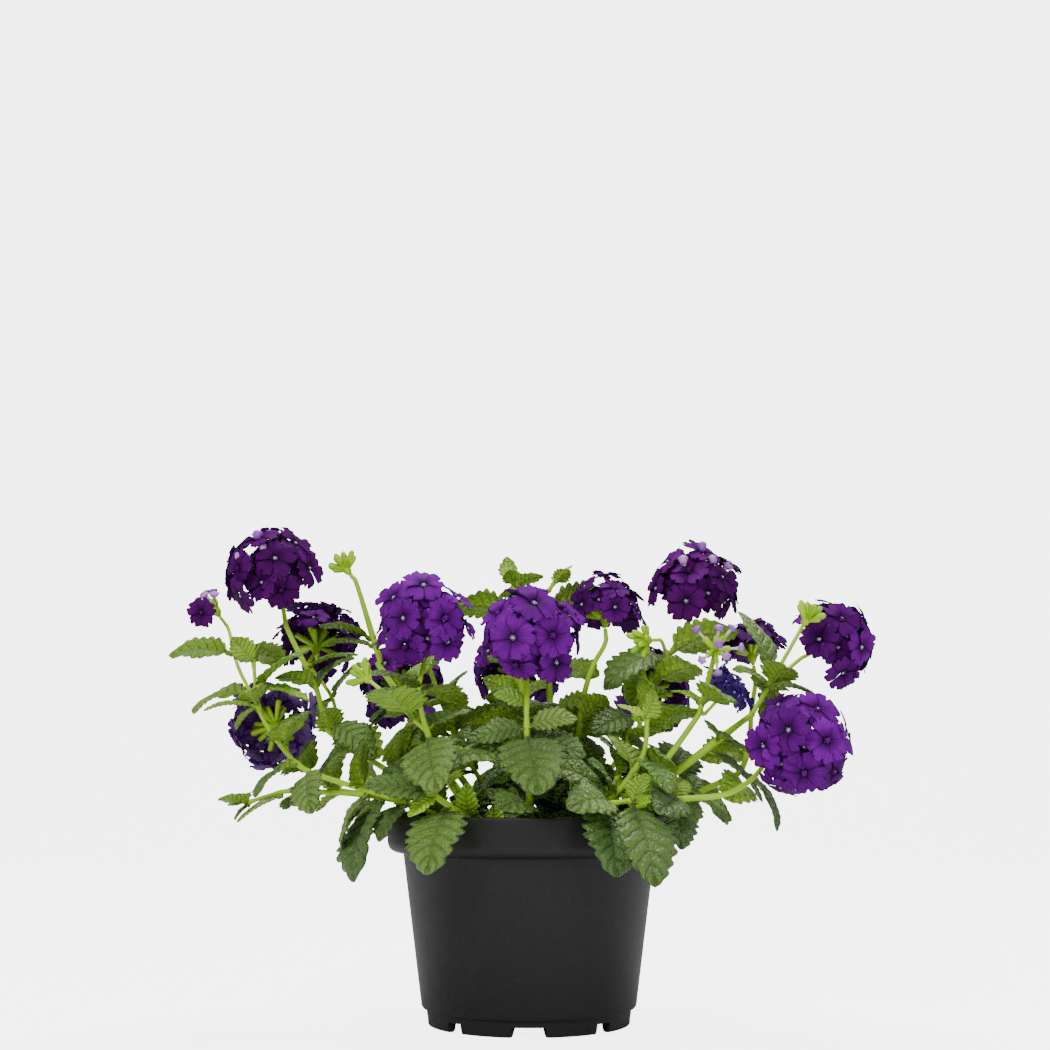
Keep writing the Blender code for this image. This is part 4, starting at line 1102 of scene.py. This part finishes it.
def node_group(name, inputs, outputs):
    """An empty shader group with named sockets, as (group, input node, output node)."""
    group = bpy.data.node_groups.new(name, "ShaderNodeTree")
    for label, value in inputs:
        socket = group.interface.new_socket(name=label, in_out="INPUT", socket_type=NUMBER)
        socket.default_value = value
    for label, kind in outputs:
        group.interface.new_socket(name=label, in_out="OUTPUT", socket_type=kind)
    return group, group.nodes.new("NodeGroupInput"), group.nodes.new("NodeGroupOutput")


def wire(tree, source, target):
    """Links two (node, socket name) pairs."""
    tree.links.new(source[0].outputs[source[1]], target[0].inputs[target[1]])


def maths(tree, operation, first, second=None, clamp=False):
    """A maths node fed by (node, socket) pairs or plain numbers, as its output pair."""
    node = tree.nodes.new("ShaderNodeMath")
    node.operation = operation
    node.use_clamp = clamp
    for slot_number, value in enumerate((first, second)):
        if isinstance(value, tuple):
            wire(tree, value, (node, slot_number))
        elif value is not None:
            node.inputs[slot_number].default_value = value
    return node, 0


def blend_colour(tree, share, first, second, kind="MIX"):
    """A colour mix of two colours or (node, socket) pairs, as its output pair."""
    node = tree.nodes.new("ShaderNodeMix")
    node.data_type = "RGBA"
    node.blend_type = kind
    for index, value in ((0, share), (6, first), (7, second)):
        if isinstance(value, tuple) and isinstance(value[0], bpy.types.Node):
            wire(tree, value, (node, index))
        else:
            node.inputs[index].default_value = value
    return node, 2


def mottle_group():
    """Soft patches and a fine grain: a value round 1 to multiply by, a roughness, a normal."""
    inputs = zip(MOTTLE_LABELS, (60.0, 0.3, 900.0, 0.2, 0.4, 0.6))
    outputs = [("Value", NUMBER), ("Roughness", NUMBER), ("Normal", "NodeSocketVector")]
    group, given, out = node_group("mottle", inputs, outputs)
    where = group.nodes.new("ShaderNodeTexCoord")
    patch = group.nodes.new("ShaderNodeTexNoise")
    patch.inputs["Detail"].default_value = 3
    grain = group.nodes.new("ShaderNodeTexNoise")
    grain.inputs["Detail"].default_value = 2
    for texture, scale in ((patch, "Patch Scale"), (grain, "Grain Scale")):
        wire(group, (where, "Object"), (texture, "Vector"))
        wire(group, (given, scale), (texture, "Scale"))
    centred = maths(group, "SUBTRACT", (patch, 0), 0.5)
    deep = maths(group, "MULTIPLY", centred, (given, "Patch Depth"))
    wire(group, maths(group, "ADD", maths(group, "MULTIPLY", deep, 2.0), 1.0), (out, "Value"))
    range_node = group.nodes.new("ShaderNodeMapRange")
    wire(group, (grain, 0), (range_node, "Value"))
    wire(group, (given, "Rough Low"), (range_node, "To Min"))
    wire(group, (given, "Rough High"), (range_node, "To Max"))
    wire(group, (range_node, "Result"), (out, "Roughness"))
    bump = group.nodes.new("ShaderNodeBump")
    bump.inputs["Distance"].default_value = 0.0004
    wire(group, (grain, 0), (bump, "Height"))
    wire(group, (given, "Grain Bump"), (bump, "Strength"))
    wire(group, (bump, "Normal"), (out, "Normal"))
    return group


def vein_group():
    """Lines that lean out from a middle rib: 1 on a vein, 0 between, by the blade's own places."""
    inputs = [("Count", 7.0), ("Lean", 2.0), ("Shift", 0.35)]
    inputs += [("Rib Width", 0.07), ("Line Width", 0.12)]
    outputs = [("Mask", NUMBER), ("Along", NUMBER), ("Across", NUMBER)]
    group, given, out = node_group("veins", inputs, outputs)
    spot = group.nodes.new("ShaderNodeAttribute")
    spot.attribute_name = "spot"
    parts = group.nodes.new("ShaderNodeSeparateXYZ")
    wire(group, (spot, "Vector"), (parts, 0))
    off = maths(group, "ABSOLUTE", (parts, "Y"))
    counted = maths(group, "MULTIPLY", (parts, "X"), (given, "Count"))
    leaned = maths(group, "MULTIPLY", off, (given, "Lean"))
    line = maths(group, "ADD", maths(group, "SUBTRACT", counted, leaned), (given, "Shift"))
    wave = maths(group, "ABSOLUTE", maths(group, "SUBTRACT", maths(group, "FRACT", line), 0.5))
    near = maths(group, "SUBTRACT", 0.5, wave)
    side_vein = maths(group, "DIVIDE", near, (given, "Line Width"))
    side_vein = maths(group, "SUBTRACT", 1.0, side_vein, clamp=True)
    rib = maths(group, "DIVIDE", off, (given, "Rib Width"))
    rib = maths(group, "SUBTRACT", 1.0, rib, clamp=True)
    both = maths(group, "MAXIMUM", side_vein, rib)
    wire(group, both, (out, "Mask"))
    wire(group, (parts, "X"), (out, "Along"))
    wire(group, (parts, "Y"), (out, "Across"))
    return group


def attribute(tree, name):
    node = tree.nodes.new("ShaderNodeAttribute")
    node.attribute_name = name
    return node, "Fac"


def place_group(tree, made, values):
    """A node that holds a group, with these values on its inputs."""
    node = tree.nodes.new("ShaderNodeGroup")
    node.node_tree = made
    for label, value in values.items():
        node.inputs[label].default_value = value
    return node


def surface(name, mottle, sheen=0.0, specular=None):
    """A material with its mottle group wired, as (material, tree, shader, group)."""
    material = bpy.data.materials.new(name)
    material.use_nodes = True
    tree = material.node_tree
    shader = tree.nodes["Principled BSDF"]
    group = place_group(tree, mottle, dict(zip(MOTTLE_LABELS, MOTTLE[name])))
    wire(tree, (group, "Roughness"), (shader, "Roughness"))
    wire(tree, (group, "Normal"), (shader, "Normal"))
    shader.inputs["Sheen Weight"].default_value = sheen
    if specular is not None:
        shader.inputs["Specular IOR Level"].default_value = specular
    return material, tree, shader, group


def shaded(tree, group, colour, shader):
    """Multiplies a colour by the group's patches and gives it to the shader."""
    grey = tree.nodes.new("ShaderNodeCombineColor")
    for channel in ("Red", "Green", "Blue"):
        wire(tree, (group, "Value"), (grey, channel))
    product = blend_colour(tree, 1.0, colour, (grey, 0), "MULTIPLY")
    wire(tree, product, (shader, "Base Color"))


def relief(tree, shader, group, height, strength, distance):
    """Adds a second bump over the group's own."""
    bump = tree.nodes.new("ShaderNodeBump")
    bump.inputs["Strength"].default_value = strength
    bump.inputs["Distance"].default_value = distance
    wire(tree, height, (bump, "Height"))
    wire(tree, (group, "Normal"), (bump, "Normal"))
    wire(tree, (bump, "Normal"), (shader, "Normal"))


def blisters(tree, scale):
    """Small rounded cells, high in the middle: the puckers between the finest veins."""
    where = tree.nodes.new("ShaderNodeTexCoord")
    cells = tree.nodes.new("ShaderNodeTexVoronoi")
    cells.inputs["Scale"].default_value = scale
    wire(tree, (where, "Object"), (cells, "Vector"))
    return cells, "Distance"


def leaf_material(mottle, veins):
    material, tree, shader, group = surface("leaf", mottle, sheen=0.12, specular=0.6)
    lines = place_group(tree, veins, LEAF_LINES)
    tint, young, under = (attribute(tree, label) for label in ("tint", "young", "under"))
    cells = blisters(tree, BLISTER_SCALE)
    raised = maths(tree, "SUBTRACT", 0.5, cells)
    height = maths(tree, "SUBTRACT", maths(tree, "MULTIPLY", raised, 0.9), (lines, "Mask"))
    relief(tree, shader, group, height, *LEAF_BUMP)
    grown = blend_colour(tree, tint, *GROWN_LEAF)
    fresh = blend_colour(tree, tint, *FRESH_LEAF)
    base = blend_colour(tree, young, grown, fresh)
    # Painted shade along the sunken veins of grown leaves, turning to the real pale veins of young
    # ones.
    vein = maths(tree, "MULTIPLY", (lines, "Mask"), 0.35)
    veined = blend_colour(tree, vein, base, blend_colour(tree, young, VEIN_GROOVE_SHADE, PALE_VEIN))
    # The underside: paler than the top, and brightened by painted light shining through the blade.
    pale = blend_colour(tree, tint, *LEAF_BACK_LIT_THROUGH)
    both = blend_colour(tree, under, veined, pale)
    shaded(tree, group, both, shader)
    return material


def stem_material(mottle):
    material, tree, shader, group = surface("stem", mottle, sheen=0.1)
    young, tint = attribute(tree, "young"), attribute(tree, "tint")
    old = blend_colour(tree, tint, STEM[0], STEM[1])
    base = blend_colour(tree, young, old, STEM[2])
    shaded(tree, group, base, shader)
    return material


def petal_material(mottle, veins):
    material, tree, shader, group = surface("petal", mottle, specular=0.06)
    lines = place_group(tree, veins, PETAL_LINES)
    labels = ("tint", "under", "young", "faded")
    tint, under, dark, faded = (attribute(tree, label) for label in labels)
    bright = blend_colour(tree, tint, *BRIGHT_PETAL)
    body = blend_colour(tree, dark, bright, blend_colour(tree, tint, *DARK_PETAL))
    near = maths(tree, "SUBTRACT", 1.0, maths(tree, "MULTIPLY", (lines, "Along"), 1.9), clamp=True)
    throat = blend_colour(tree, near, body, THROAT_COLOUR)
    streak = maths(tree, "MULTIPLY", (lines, "Mask"), 0.25)
    veined = blend_colour(tree, streak, throat, THROAT_COLOUR)
    old = blend_colour(tree, maths(tree, "MULTIPLY", faded, 0.6), veined, FADED_PETAL)
    eye = maths(tree, "LESS_THAN", (lines, "Along"), 0.045)
    eyed = blend_colour(tree, eye, old, EYE_COLOUR)
    lilac = maths(tree, "MULTIPLY", faded, 2.4, clamp=True)
    deep_back = blend_colour(tree, dark, PETAL_BACK[0], PETAL_BACK[1])
    back = blend_colour(tree, lilac, deep_back, PETAL_BACK[2])
    both = blend_colour(tree, under, eyed, back)
    shaded(tree, group, both, shader)
    return material


def plain_material(name, mottle, low, high):
    """A surface between two colours, by each face's tint."""
    material, tree, shader, group = surface(name, mottle)
    base = blend_colour(tree, attribute(tree, "tint"), low, high)
    shaded(tree, group, base, shader)
    return material


def bud_material(mottle):
    material, tree, shader, group = surface("bud_tip", mottle)
    tint, faded = attribute(tree, "tint"), attribute(tree, "faded")
    folded = blend_colour(tree, tint, *BUD_TIP_COLOURS)
    tube = blend_colour(tree, tint, *TUBE_COLOURS)
    shaded(tree, group, blend_colour(tree, faded, folded, tube), shader)
    return material


def one_colour(name, mottle, colour, specular=None):
    """A surface of one colour, varied by its mottle alone."""
    material, tree, shader, group = surface(name, mottle, specular=specular)
    shaded(tree, group, colour, shader)
    return material


# Visible pieces

def under_leaves(growth):
    """More leaves low in the middle of the plant, in the room that the others leave."""
    for stem in STEMS:
        draw = random.Random("under " + stem)
        line = growth.plants[stem]["runs"][0][0]
        distance, turn = UNDER_START, draw.uniform(0, 180)
        while distance < length_of(line):
            place, ahead = along(line, distance)
            if place.z > UNDER_TOP or math.hypot(place.x, place.y) > UNDER_REACH:
                break
            for half in (0, 180):
                out = outward_from(ahead, turn + half)
                reach = (out + ahead * 0.25 + UP * draw.uniform(-0.2, 0.3)).normalized()
                reach = reach * draw.uniform(*UNDER_LENGTHS)
                droop, roll = draw.uniform(40, 70), draw.uniform(-12, 12)
                growth.try_leaf(stem, place, ahead, reach, droop, roll, NUDGES)
            turn += 90
            distance += UNDER_SPACING
    return growth.plants


def stem_piece(name, plant, material):
    """The stem and its branches, smooth, with a slight swelling at each leaf pair."""
    gather = Gather(len(plant["runs"]))
    for number, (line, root, tip, _) in enumerate(plant["runs"]):
        first = 0 if number else 1
        curve = line[:first] + smooth_path(line[first:], *CURVE)
        last = len(curve) - 1
        radii = [(root + (tip - root) * i / last) * ROUND_SHARE for i in range(len(curve))]
        places = (distance_along(curve, leaf["base"]) for leaf in plant["leaves"])
        bulges = [at for at in places if at]
        fine_tube(gather, curve, radii, 10, 0.5, 0.25 + 0.6 * min(1.0, number), bulges)
    return gather.build("stem_" + name, material)


def distance_along(line, place):
    """How far along a line a place on it is, or None if it isn't on the line."""
    run = 0.0
    for a, b in zip(line, line[1:]):
        if (place - nearest_on([a, b], place)).length < 0.8:
            return run + (place - a).length
        run += (b - a).length
    return None


def hair_piece(name, plant, material):
    """Short stiff hairs all round the stems, as three-sided spikes."""
    draw = random.Random("hair " + name)
    points, faces = [], []
    for number, (line, root, tip, _) in enumerate(plant["runs"]):
        first = 0 if number else 1
        curve = smooth_path(line[first:], *CURVE)
        total = length_of(curve)
        at = 1.0
        while at < total:
            place, ahead = along(curve, at)
            thick = (root + (tip - root) * at / total) * ROUND_SHARE
            for _ in range(HAIRS_AT_ONCE):
                out = outward_from(ahead, draw.uniform(0, 360))
                lean = (out + ahead * draw.uniform(-0.2, 0.5)).normalized()
                start = place + out * (thick - 0.15) + ahead * draw.uniform(-0.4, 0.4)
                wide = ahead.cross(out) * HAIR_WIDTH
                high = ahead * HAIR_WIDTH
                count = len(points)
                points += [start + wide, start - wide * 0.5 + high, start - wide * 0.5 - high]
                points.append(start + lean * draw.uniform(*HAIR_LENGTHS))
                faces += [(0, 1, 3), (1, 2, 3), (2, 0, 3), (2, 1, 0)]
                faces[-4:] = [tuple(count + i for i in face) for face in faces[-4:]]
            at += HAIR_SPACING
    hairs = block("hairs_" + name, points, faces)
    hairs.data.materials.append(material)
    return hairs


def leaf_piece(name, plant, material):
    gather = Gather(len(plant["leaves"]))
    for number, leaf in enumerate(plant["leaves"]):
        fine_leaf(gather, {**leaf, "stem": name}, f"{name} {number}")
    return gather.build("leaves_" + name, material)


TIP_STEP = 0.61

# Turned shapes as (share of the length, radius): a bud's calyx and tip, a floret's, and the cores.
BUD_CUP = ((0.0, 0.35), (0.1, 0.75), (0.45, 0.95), (0.8, 1.1), (0.93, 0.85), (1.0, 0.3))
STAR_CUP = ((0.0, 0.5), (0.1, 0.85), (0.35, 1.05), (0.53, 1.15), (0.56, 0.8))
STAR_TUBE = ((0.5, 0.7), (0.7, 0.55), (0.86, 0.75))
STAR_TIP = ((0.83, 0.7), (0.87, 1.5), (0.92, 1.85), (0.97, 1.6), (1.0, 0.8))
EYE = ((0.0, 0.75), (0.6, 0.65), (0.85, 0.45), (1.0, 0.25))
CLUSTER_CORE = ((0.0, 0.5), (0.3, 1.9), (0.7, 1.9), (1.0, 0.6))
FLORET_CUP = ((0.0, 0.5), (0.2, 0.9), (0.6, 1.2), (0.93, 1.25), (1.0, 0.8))
FLORET_TUBE = ((0.0, 0.75), (0.5, 0.7), (0.85, 0.85), (1.0, 1.2))
HEAD_CORE = ((0.0, 0.7), (0.12, 1.3), (0.3, 2.2), (0.6, 2.2), (0.85, 1.4), (1.0, 0.5))


def tone(number, step=0.37):
    """A shade from 0 to 1 for the piece of this number, unlike its neighbour's."""
    return number * step % 1


def closed_buds(cups, found):
    """Ribbed green buds that show no petals yet."""
    for number, (root, tip, radius) in enumerate(found):
        lathe(cups, root, tip, scaled(BUD_CUP, radius), 10, tone(number), 0.9, lobes=5)


def opening_buds(cups, tips, found):
    """Each a ribbed calyx, a pale tube out of it, and the folded petals as a ball on its end."""
    for number, (root, tip, radius) in enumerate(found):
        lathe(cups, root, tip, scaled(STAR_CUP, radius), 10, tone(number), 0.9, lobes=5)
        lathe(tips, root, tip, scaled(STAR_TUBE, radius), 8, tone(number, TIP_STEP), faded=1.0)
        lathe(tips, root, tip, scaled(STAR_TIP, radius), 10, tone(number, TIP_STEP), lobes=5)


def scaled(profile, radius):
    return [(share, wide * radius) for share, wide in profile]


def bud_pieces(name, plant, green, lilac):
    ends = [(line, end) for line, _, _, end in plant["runs"] if end in ("buds", "star")]
    if not ends:
        return []
    cups, tips = Gather(18 * len(ends)), Gather(16)
    for line, end in ends:
        ahead = (line[-1] - line[-2]).normalized()
        axis = STAR_AXIS.normalized() if end == "star" else ahead
        core = axis * BUD_CORE
        lathe(cups, line[-1] - core, line[-1] + core, CLUSTER_CORE, 8, 0.5, 0.8)
        if end == "star":
            opening_buds(cups, tips, bud_cluster(line[-1], axis, STAR_CLUSTER, name))
        else:
            closed_buds(cups, bud_cluster(line[-1], axis, BUD_CLUSTER, name))
            closed_buds(cups, bud_cluster(line[-1], axis, FINE_BUDS, name + " fine"))
    made = [cups.build("calyces_" + name, green)]
    return made + ([tips.build("bud_tips_" + name, lilac)] if tips.count else [])


def inner_florets(name):
    """Florets under the outer ones, which close the gaps between those."""
    centre, axis = head_centre(name), head_axis(name)
    size = HEADS[name][2]
    side, other = across(axis)
    draw = random.Random("inner " + name)
    found = []
    for polar, count, first in INNER_RINGS:
        for k in range(count):
            turn = math.radians(first + 360 * k / count + draw.uniform(-8, 8))
            tilt = math.radians(polar + draw.uniform(-6, 6))
            facing = dome_way(axis, side, other, tilt, turn)
            reach = HEAD_RADIUS * size - draw.uniform(0.5, 3.0)
            found.append((centre + facing * reach, facing, size * 0.92, draw.random(), reach))
    return found


def head_pieces(name, petal, green, lilac):
    """The florets of a head, and the green calyces and core that carry them."""
    centre, axis = head_centre(name), head_axis(name)
    size, rings = HEADS[name][2:]
    places = floret_places(name)
    if len(places) > 1:
        places += inner_florets(name)
    shade, faded = HEAD_LOOKS.get(name, (0.45, 0.0))
    florets, cups = Gather((PETALS + 2) * len(places)), Gather(len(places) + 9)
    half = axis * CORE_RADIUS * size
    lathe(cups, centre - half, centre + half, HEAD_CORE, 10, 0.4, 0.7)
    for number, floret in enumerate(places):
        place, facing = floret[:2]
        fine_floret(florets, floret, f"{name} {number}", shade, faded)
        root = centre + (place - centre) * 0.08
        mouth = place - facing * 0.9
        lathe(florets, root + (mouth - root) * 0.45, mouth, FLORET_TUBE, 8, 0.2, shade, along=0.5)
        cup_end = root + (mouth - root) * 0.62
        lathe(cups, root, cup_end, FLORET_CUP, 10, tone(number), 0.6, lobes=5)
    tips = Gather(16)
    if rings != FULL_HEAD:
        count, spread, length, radius = HEAD_BUDS
        cluster = (count, spread, length * size, radius)
        opening_buds(cups, tips, bud_cluster(centre, axis, cluster, name))
    if name in LATE_BUDS:
        opening_buds(cups, tips, bud_cluster(centre, axis, LATE_BUDS[name], name + " late"))
    made = [florets.build("florets_" + name, petal), cups.build("calyces_" + name, green)]
    return made + ([tips.build("bud_tips_" + name, lilac)] if tips.count else [])


def rounded(profile, most):
    """The profile with each corner turned into a short curve."""
    found = [profile[0]]
    for before, corner, after in zip(profile, profile[1:], profile[2:]):
        a, b, c = np.array(before), np.array(corner), np.array(after)
        back = min(most, 0.45 * np.linalg.norm(a - b))
        on = min(most, 0.45 * np.linalg.norm(c - b))
        start = b + (a - b) / np.linalg.norm(a - b) * back
        end = b + (c - b) / np.linalg.norm(c - b) * on
        for t in (0.0, 0.33, 0.67, 1.0):
            found.append(tuple((1 - t) ** 2 * start + 2 * t * (1 - t) * b + t * t * end))
    return found + [profile[-1]]


def block(name, points, faces):
    mesh = bpy.data.meshes.new(name)
    mesh.from_pydata([tuple(p * MM) for p in points], [], faces)
    work = bmesh.new()
    work.from_mesh(mesh)
    bmesh.ops.recalc_face_normals(work, faces=work.faces)
    work.to_mesh(mesh)
    work.free()
    return in_scene(name, mesh)


def notch(turn, width):
    """A block through the foot ring, wider at the floor and outside than within."""
    points = []
    for radius, spread in ((FOOT_RADIUS - FOOT_WIDTH - 3, NOTCH_TAPER), (FOOT_RADIUS + 4, 1.0)):
        for height, flare in ((-1.0, 1.12), (NOTCH_HEIGHT, 0.9)):
            for sign in (-1, 1):
                half = sign * width * spread * flare / 2
                x = radius * math.cos(turn) - half * math.sin(turn)
                points.append(Vector((x, radius * math.sin(turn) + half * math.cos(turn), height)))
    faces = [(0, 1, 3, 2), (4, 6, 7, 5), (0, 4, 5, 1), (2, 3, 7, 6), (0, 2, 6, 4), (1, 5, 7, 3)]
    return block("notch", points, faces)


def drain(x, y):
    points = []
    for height in (0, FLOOR_TOP + 3):
        points += [Vector((x, y, 0)) + way for way in circle(DRAIN_RADIUS, height, WALL_SIDES)]
    ends = [tuple(range(WALL_SIDES))[::-1], tuple(range(WALL_SIDES, 2 * WALL_SIDES))]
    return block("drain", points, bands(2, WALL_SIDES) + ends)


def capped(count, rows, sides):
    """Faces of rings between a first and a last point, each joined to its nearest ring."""
    last, faces = count - 1, bands(rows, sides, 1, flip=True)
    for k in range(sides):
        after = (k + 1) % sides
        faces += [(0, 1 + k, 1 + after), (last, last - sides + after, last - sides + k)]
    return faces


def pot_piece(material):
    """The pot turned finely, with its feet and drains cut out."""
    profile = rounded(pot_profile(), CORNER_ROUND)
    points = [Vector((0, 0, profile[0][1]))]
    for radius, height in profile[1:-1]:
        points += circle(radius, height, POT_SIDES)
    points.append(Vector((0, 0, profile[-1][1])))
    faces = capped(len(points), len(profile) - 2, POT_SIDES)
    pot = block("nursery_pot", points, faces)
    cutters = bpy.data.collections.new("pot_openings")
    bpy.context.scene.collection.children.link(cutters)
    for k in range(NOTCHES):
        turn = math.radians(-90 + 360 / NOTCHES * k)
        tools = [notch(turn, NARROW_NOTCH if k % 2 else WIDE_NOTCH)]
        if not k % 2:
            tools.append(drain(DRAIN_CIRCLE * math.cos(turn), DRAIN_CIRCLE * math.sin(turn)))
        for tool in tools:
            bpy.context.scene.collection.objects.unlink(tool)
            cutters.objects.link(tool)
    cut = pot.modifiers.new("openings", "BOOLEAN")
    cut.operation = "DIFFERENCE"
    cut.operand_type = "COLLECTION"
    cut.collection = cutters
    cut.solver = "MANIFOLD"
    bpy.context.view_layer.update()
    mesh = bpy.data.meshes.new_from_object(pot.evaluated_get(bpy.context.evaluated_depsgraph_get()))
    pot.modifiers.clear()
    pot.data = mesh
    for tool in list(cutters.objects):
        bpy.data.objects.remove(tool)
    bpy.data.collections.remove(cutters)
    mesh.materials.clear()
    mesh.materials.append(material)
    smooth(mesh)
    mesh.set_sharp_from_angle(angle=math.radians(SHARP_FROM))
    return pot


def soil_piece(material):
    """The peat: crumbly on top, and down to the pot's floor at the side."""
    draw = random.Random("peat")
    sides, rings = PEAT_SIDES, PEAT_RINGS
    points = [Vector((0, 0, soil_height(0, 0)))]
    for i in range(1, rings + 1):
        radius = SOIL_RADIUS * i / rings
        for k in range(sides):
            turn = 2 * math.pi * (k + 0.5 * (i % 2)) / sides
            x, y = radius * math.cos(turn), radius * math.sin(turn)
            crumb = draw.uniform(-0.5, 0.5) * (0 if i == rings else 1)
            points.append(Vector((x + crumb * 0.5, y, soil_height(x, y) + crumb)))
    wall = ((BODY_TOP_RADIUS - WALL - GAP, POT_HEIGHT - RIM_BAND + 1.5), (PEAT_FOOT, PEAT_BOTTOM))
    for radius, height in wall:
        points += circle(radius, height, sides)
    points.append(Vector((0, 0, PEAT_BOTTOM)))
    faces = capped(len(points), rings + 2, sides)
    for _ in range(CRUMBS):
        turn, radius = draw.uniform(0, 2 * math.pi), SOIL_RADIUS * draw.uniform(0.05, 0.93) ** 0.5
        centre = Vector((radius * math.cos(turn), radius * math.sin(turn), 0))
        centre.z = soil_height(centre.x, centre.y) + 0.2
        ball = bmesh.new()
        bmesh.ops.create_icosphere(ball, subdivisions=1, radius=draw.uniform(*CRUMB_RADII))
        start = len(points)
        stretch = Vector((draw.uniform(0.7, 1.5), draw.uniform(0.7, 1.5), draw.uniform(0.5, 0.9)))
        for vert in ball.verts:
            points.append(centre + vert.co * stretch * draw.uniform(0.8, 1.2))
        faces += [tuple(start + v.index for v in face.verts) for face in ball.faces]
        ball.free()
    soil = block("peat", points, faces)
    soil.data.materials.append(material)
    smooth(soil.data)
    return soil


def placed(piece, slot, *nodes):
    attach(piece, "root")
    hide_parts(*nodes)


# Camera: focal length, picture width and shift in pixels, sensor in millimetres, tilt in radians,
# and its place in metres.
FOCAL_PIXELS = 1781.45
PICTURE_WIDTH = 1050
PIXELS_LEFT = 4
SENSOR_WIDTH = 36
VIEW_DISTANCE = 0.83
VIEW_HEIGHT = 0.12084
VIEW_TILT = 0.12786

# Strength of the room's light, and of the backdrop where the camera sees it.
ROOM_LIGHT = 0.26
FLOOR_GLOW = 4.5

# Each light: name, place, aim and width in metres, and power in watts.
LIGHTS = (
    ("key", (-0.5, -1.3, 1.0), (0, 0, 0.12), 0.5, 12.0),
    ("fill", (1.0, -1.1, 0.5), (0, 0, 0.1), 0.8, 3.0),
    ("top", (0.1, 0.3, 1.4), (0, 0, 0.15), 0.6, 17.0),
)


def camera_glow(tree):
    """The backdrop's brightness as the camera sees it. It lights nothing."""
    seen = tree.nodes.new("ShaderNodeLightPath")
    return maths(tree, "MULTIPLY", (seen, "Is Camera Ray"), FLOOR_GLOW)


def studio():
    """A pale sheet that sweeps up behind, a soft key light from the upper left, and fills."""
    line = [(-3.0, 0.0), (1.2, 0.0)]
    for step in range(1, 12):
        turn = step * math.pi / 24
        line.append((1.2 + 0.8 * math.sin(turn), 0.8 - 0.8 * math.cos(turn)))
    line += [(2.0, 0.8), (2.0, 4.0)]
    points = [(x, y, z) for y, z in line for x in (-9.0, 9.0)]
    faces = [(2 * i, 2 * i + 1, 2 * i + 3, 2 * i + 2) for i in range(len(line) - 1)]
    mesh = bpy.data.meshes.new("floor")
    mesh.from_pydata(points, [], faces)
    smooth(mesh)
    floor = in_scene("floor", mesh)
    pale = bpy.data.materials.new("pale_floor")
    pale.use_nodes = True
    shader = pale.node_tree.nodes["Principled BSDF"]
    shader.inputs["Base Color"].default_value = (0.9, 0.9, 0.9, 1)
    shader.inputs["Roughness"].default_value = 0.9
    shader.inputs["Emission Color"].default_value = (1, 1, 1, 1)
    wire(pale.node_tree, camera_glow(pale.node_tree), (shader, "Emission Strength"))
    mesh.materials.append(pale)
    world = bpy.data.worlds.new("soft_room")
    world.use_nodes = True
    world.node_tree.nodes["Background"].inputs["Color"].default_value = (1, 1, 1, 1)
    room = maths(world.node_tree, "ADD", camera_glow(world.node_tree), ROOM_LIGHT)
    wire(world.node_tree, room, (world.node_tree.nodes["Background"], "Strength"))
    bpy.context.scene.world = world
    for name, place, aim, width, power in LIGHTS:
        light = bpy.data.lights.new(name, "AREA")
        light.shape = "DISK"
        light.size = width
        light.energy = power
        lamp = in_scene(name, light)
        lamp.location = place
        way = Vector(aim) - Vector(place)
        lamp.rotation_mode = "QUATERNION"
        lamp.rotation_quaternion = way.to_track_quat("-Z", "Y")


def camera():
    data = bpy.data.cameras.new("camera")
    data.sensor_width = SENSOR_WIDTH
    data.lens = SENSOR_WIDTH * FOCAL_PIXELS / PICTURE_WIDTH
    data.shift_x = -PIXELS_LEFT / PICTURE_WIDTH
    data.clip_start = 0.01
    viewer = in_scene("camera", data)
    viewer.location = (0, -VIEW_DISTANCE, VIEW_HEIGHT)
    viewer.rotation_euler = (math.pi / 2 + VIEW_TILT, 0, 0)
    bpy.context.scene.camera = viewer


camera()
studio()
mottle, veins = mottle_group(), vein_group()
leaf_look, stem_look = leaf_material(mottle, veins), stem_material(mottle)
petal_look = petal_material(mottle, veins)
calyx_look = plain_material("calyx", mottle, *CALYX)
bud_look = bud_material(mottle)
hair_look = plain_material("hair", mottle, *HAIR)
pot_look = one_colour("pot_plastic", mottle, POT_COLOUR, specular=0.35)
soil_look = one_colour("peat", mottle, PEAT_COLOUR)

placed(pot_piece(pot_look), "pot_plastic", "pot")
placed(soil_piece(soil_look), "peat", "soil")
for name, plant in under_leaves(grow()).items():
    made = [stem_piece(name, plant, stem_look), hair_piece(name, plant, hair_look)]
    for piece in made + bud_pieces(name, plant, calyx_look, bud_look):
        placed(piece, "leaf", "stem_" + name)
    if plant["leaves"]:
        placed(leaf_piece(name, plant, leaf_look), "leaf", "stem_" + name)
for name in HEADS:
    for piece in head_pieces(name, petal_look, calyx_look, bud_look):
        placed(piece, "petal", "head_" + name)
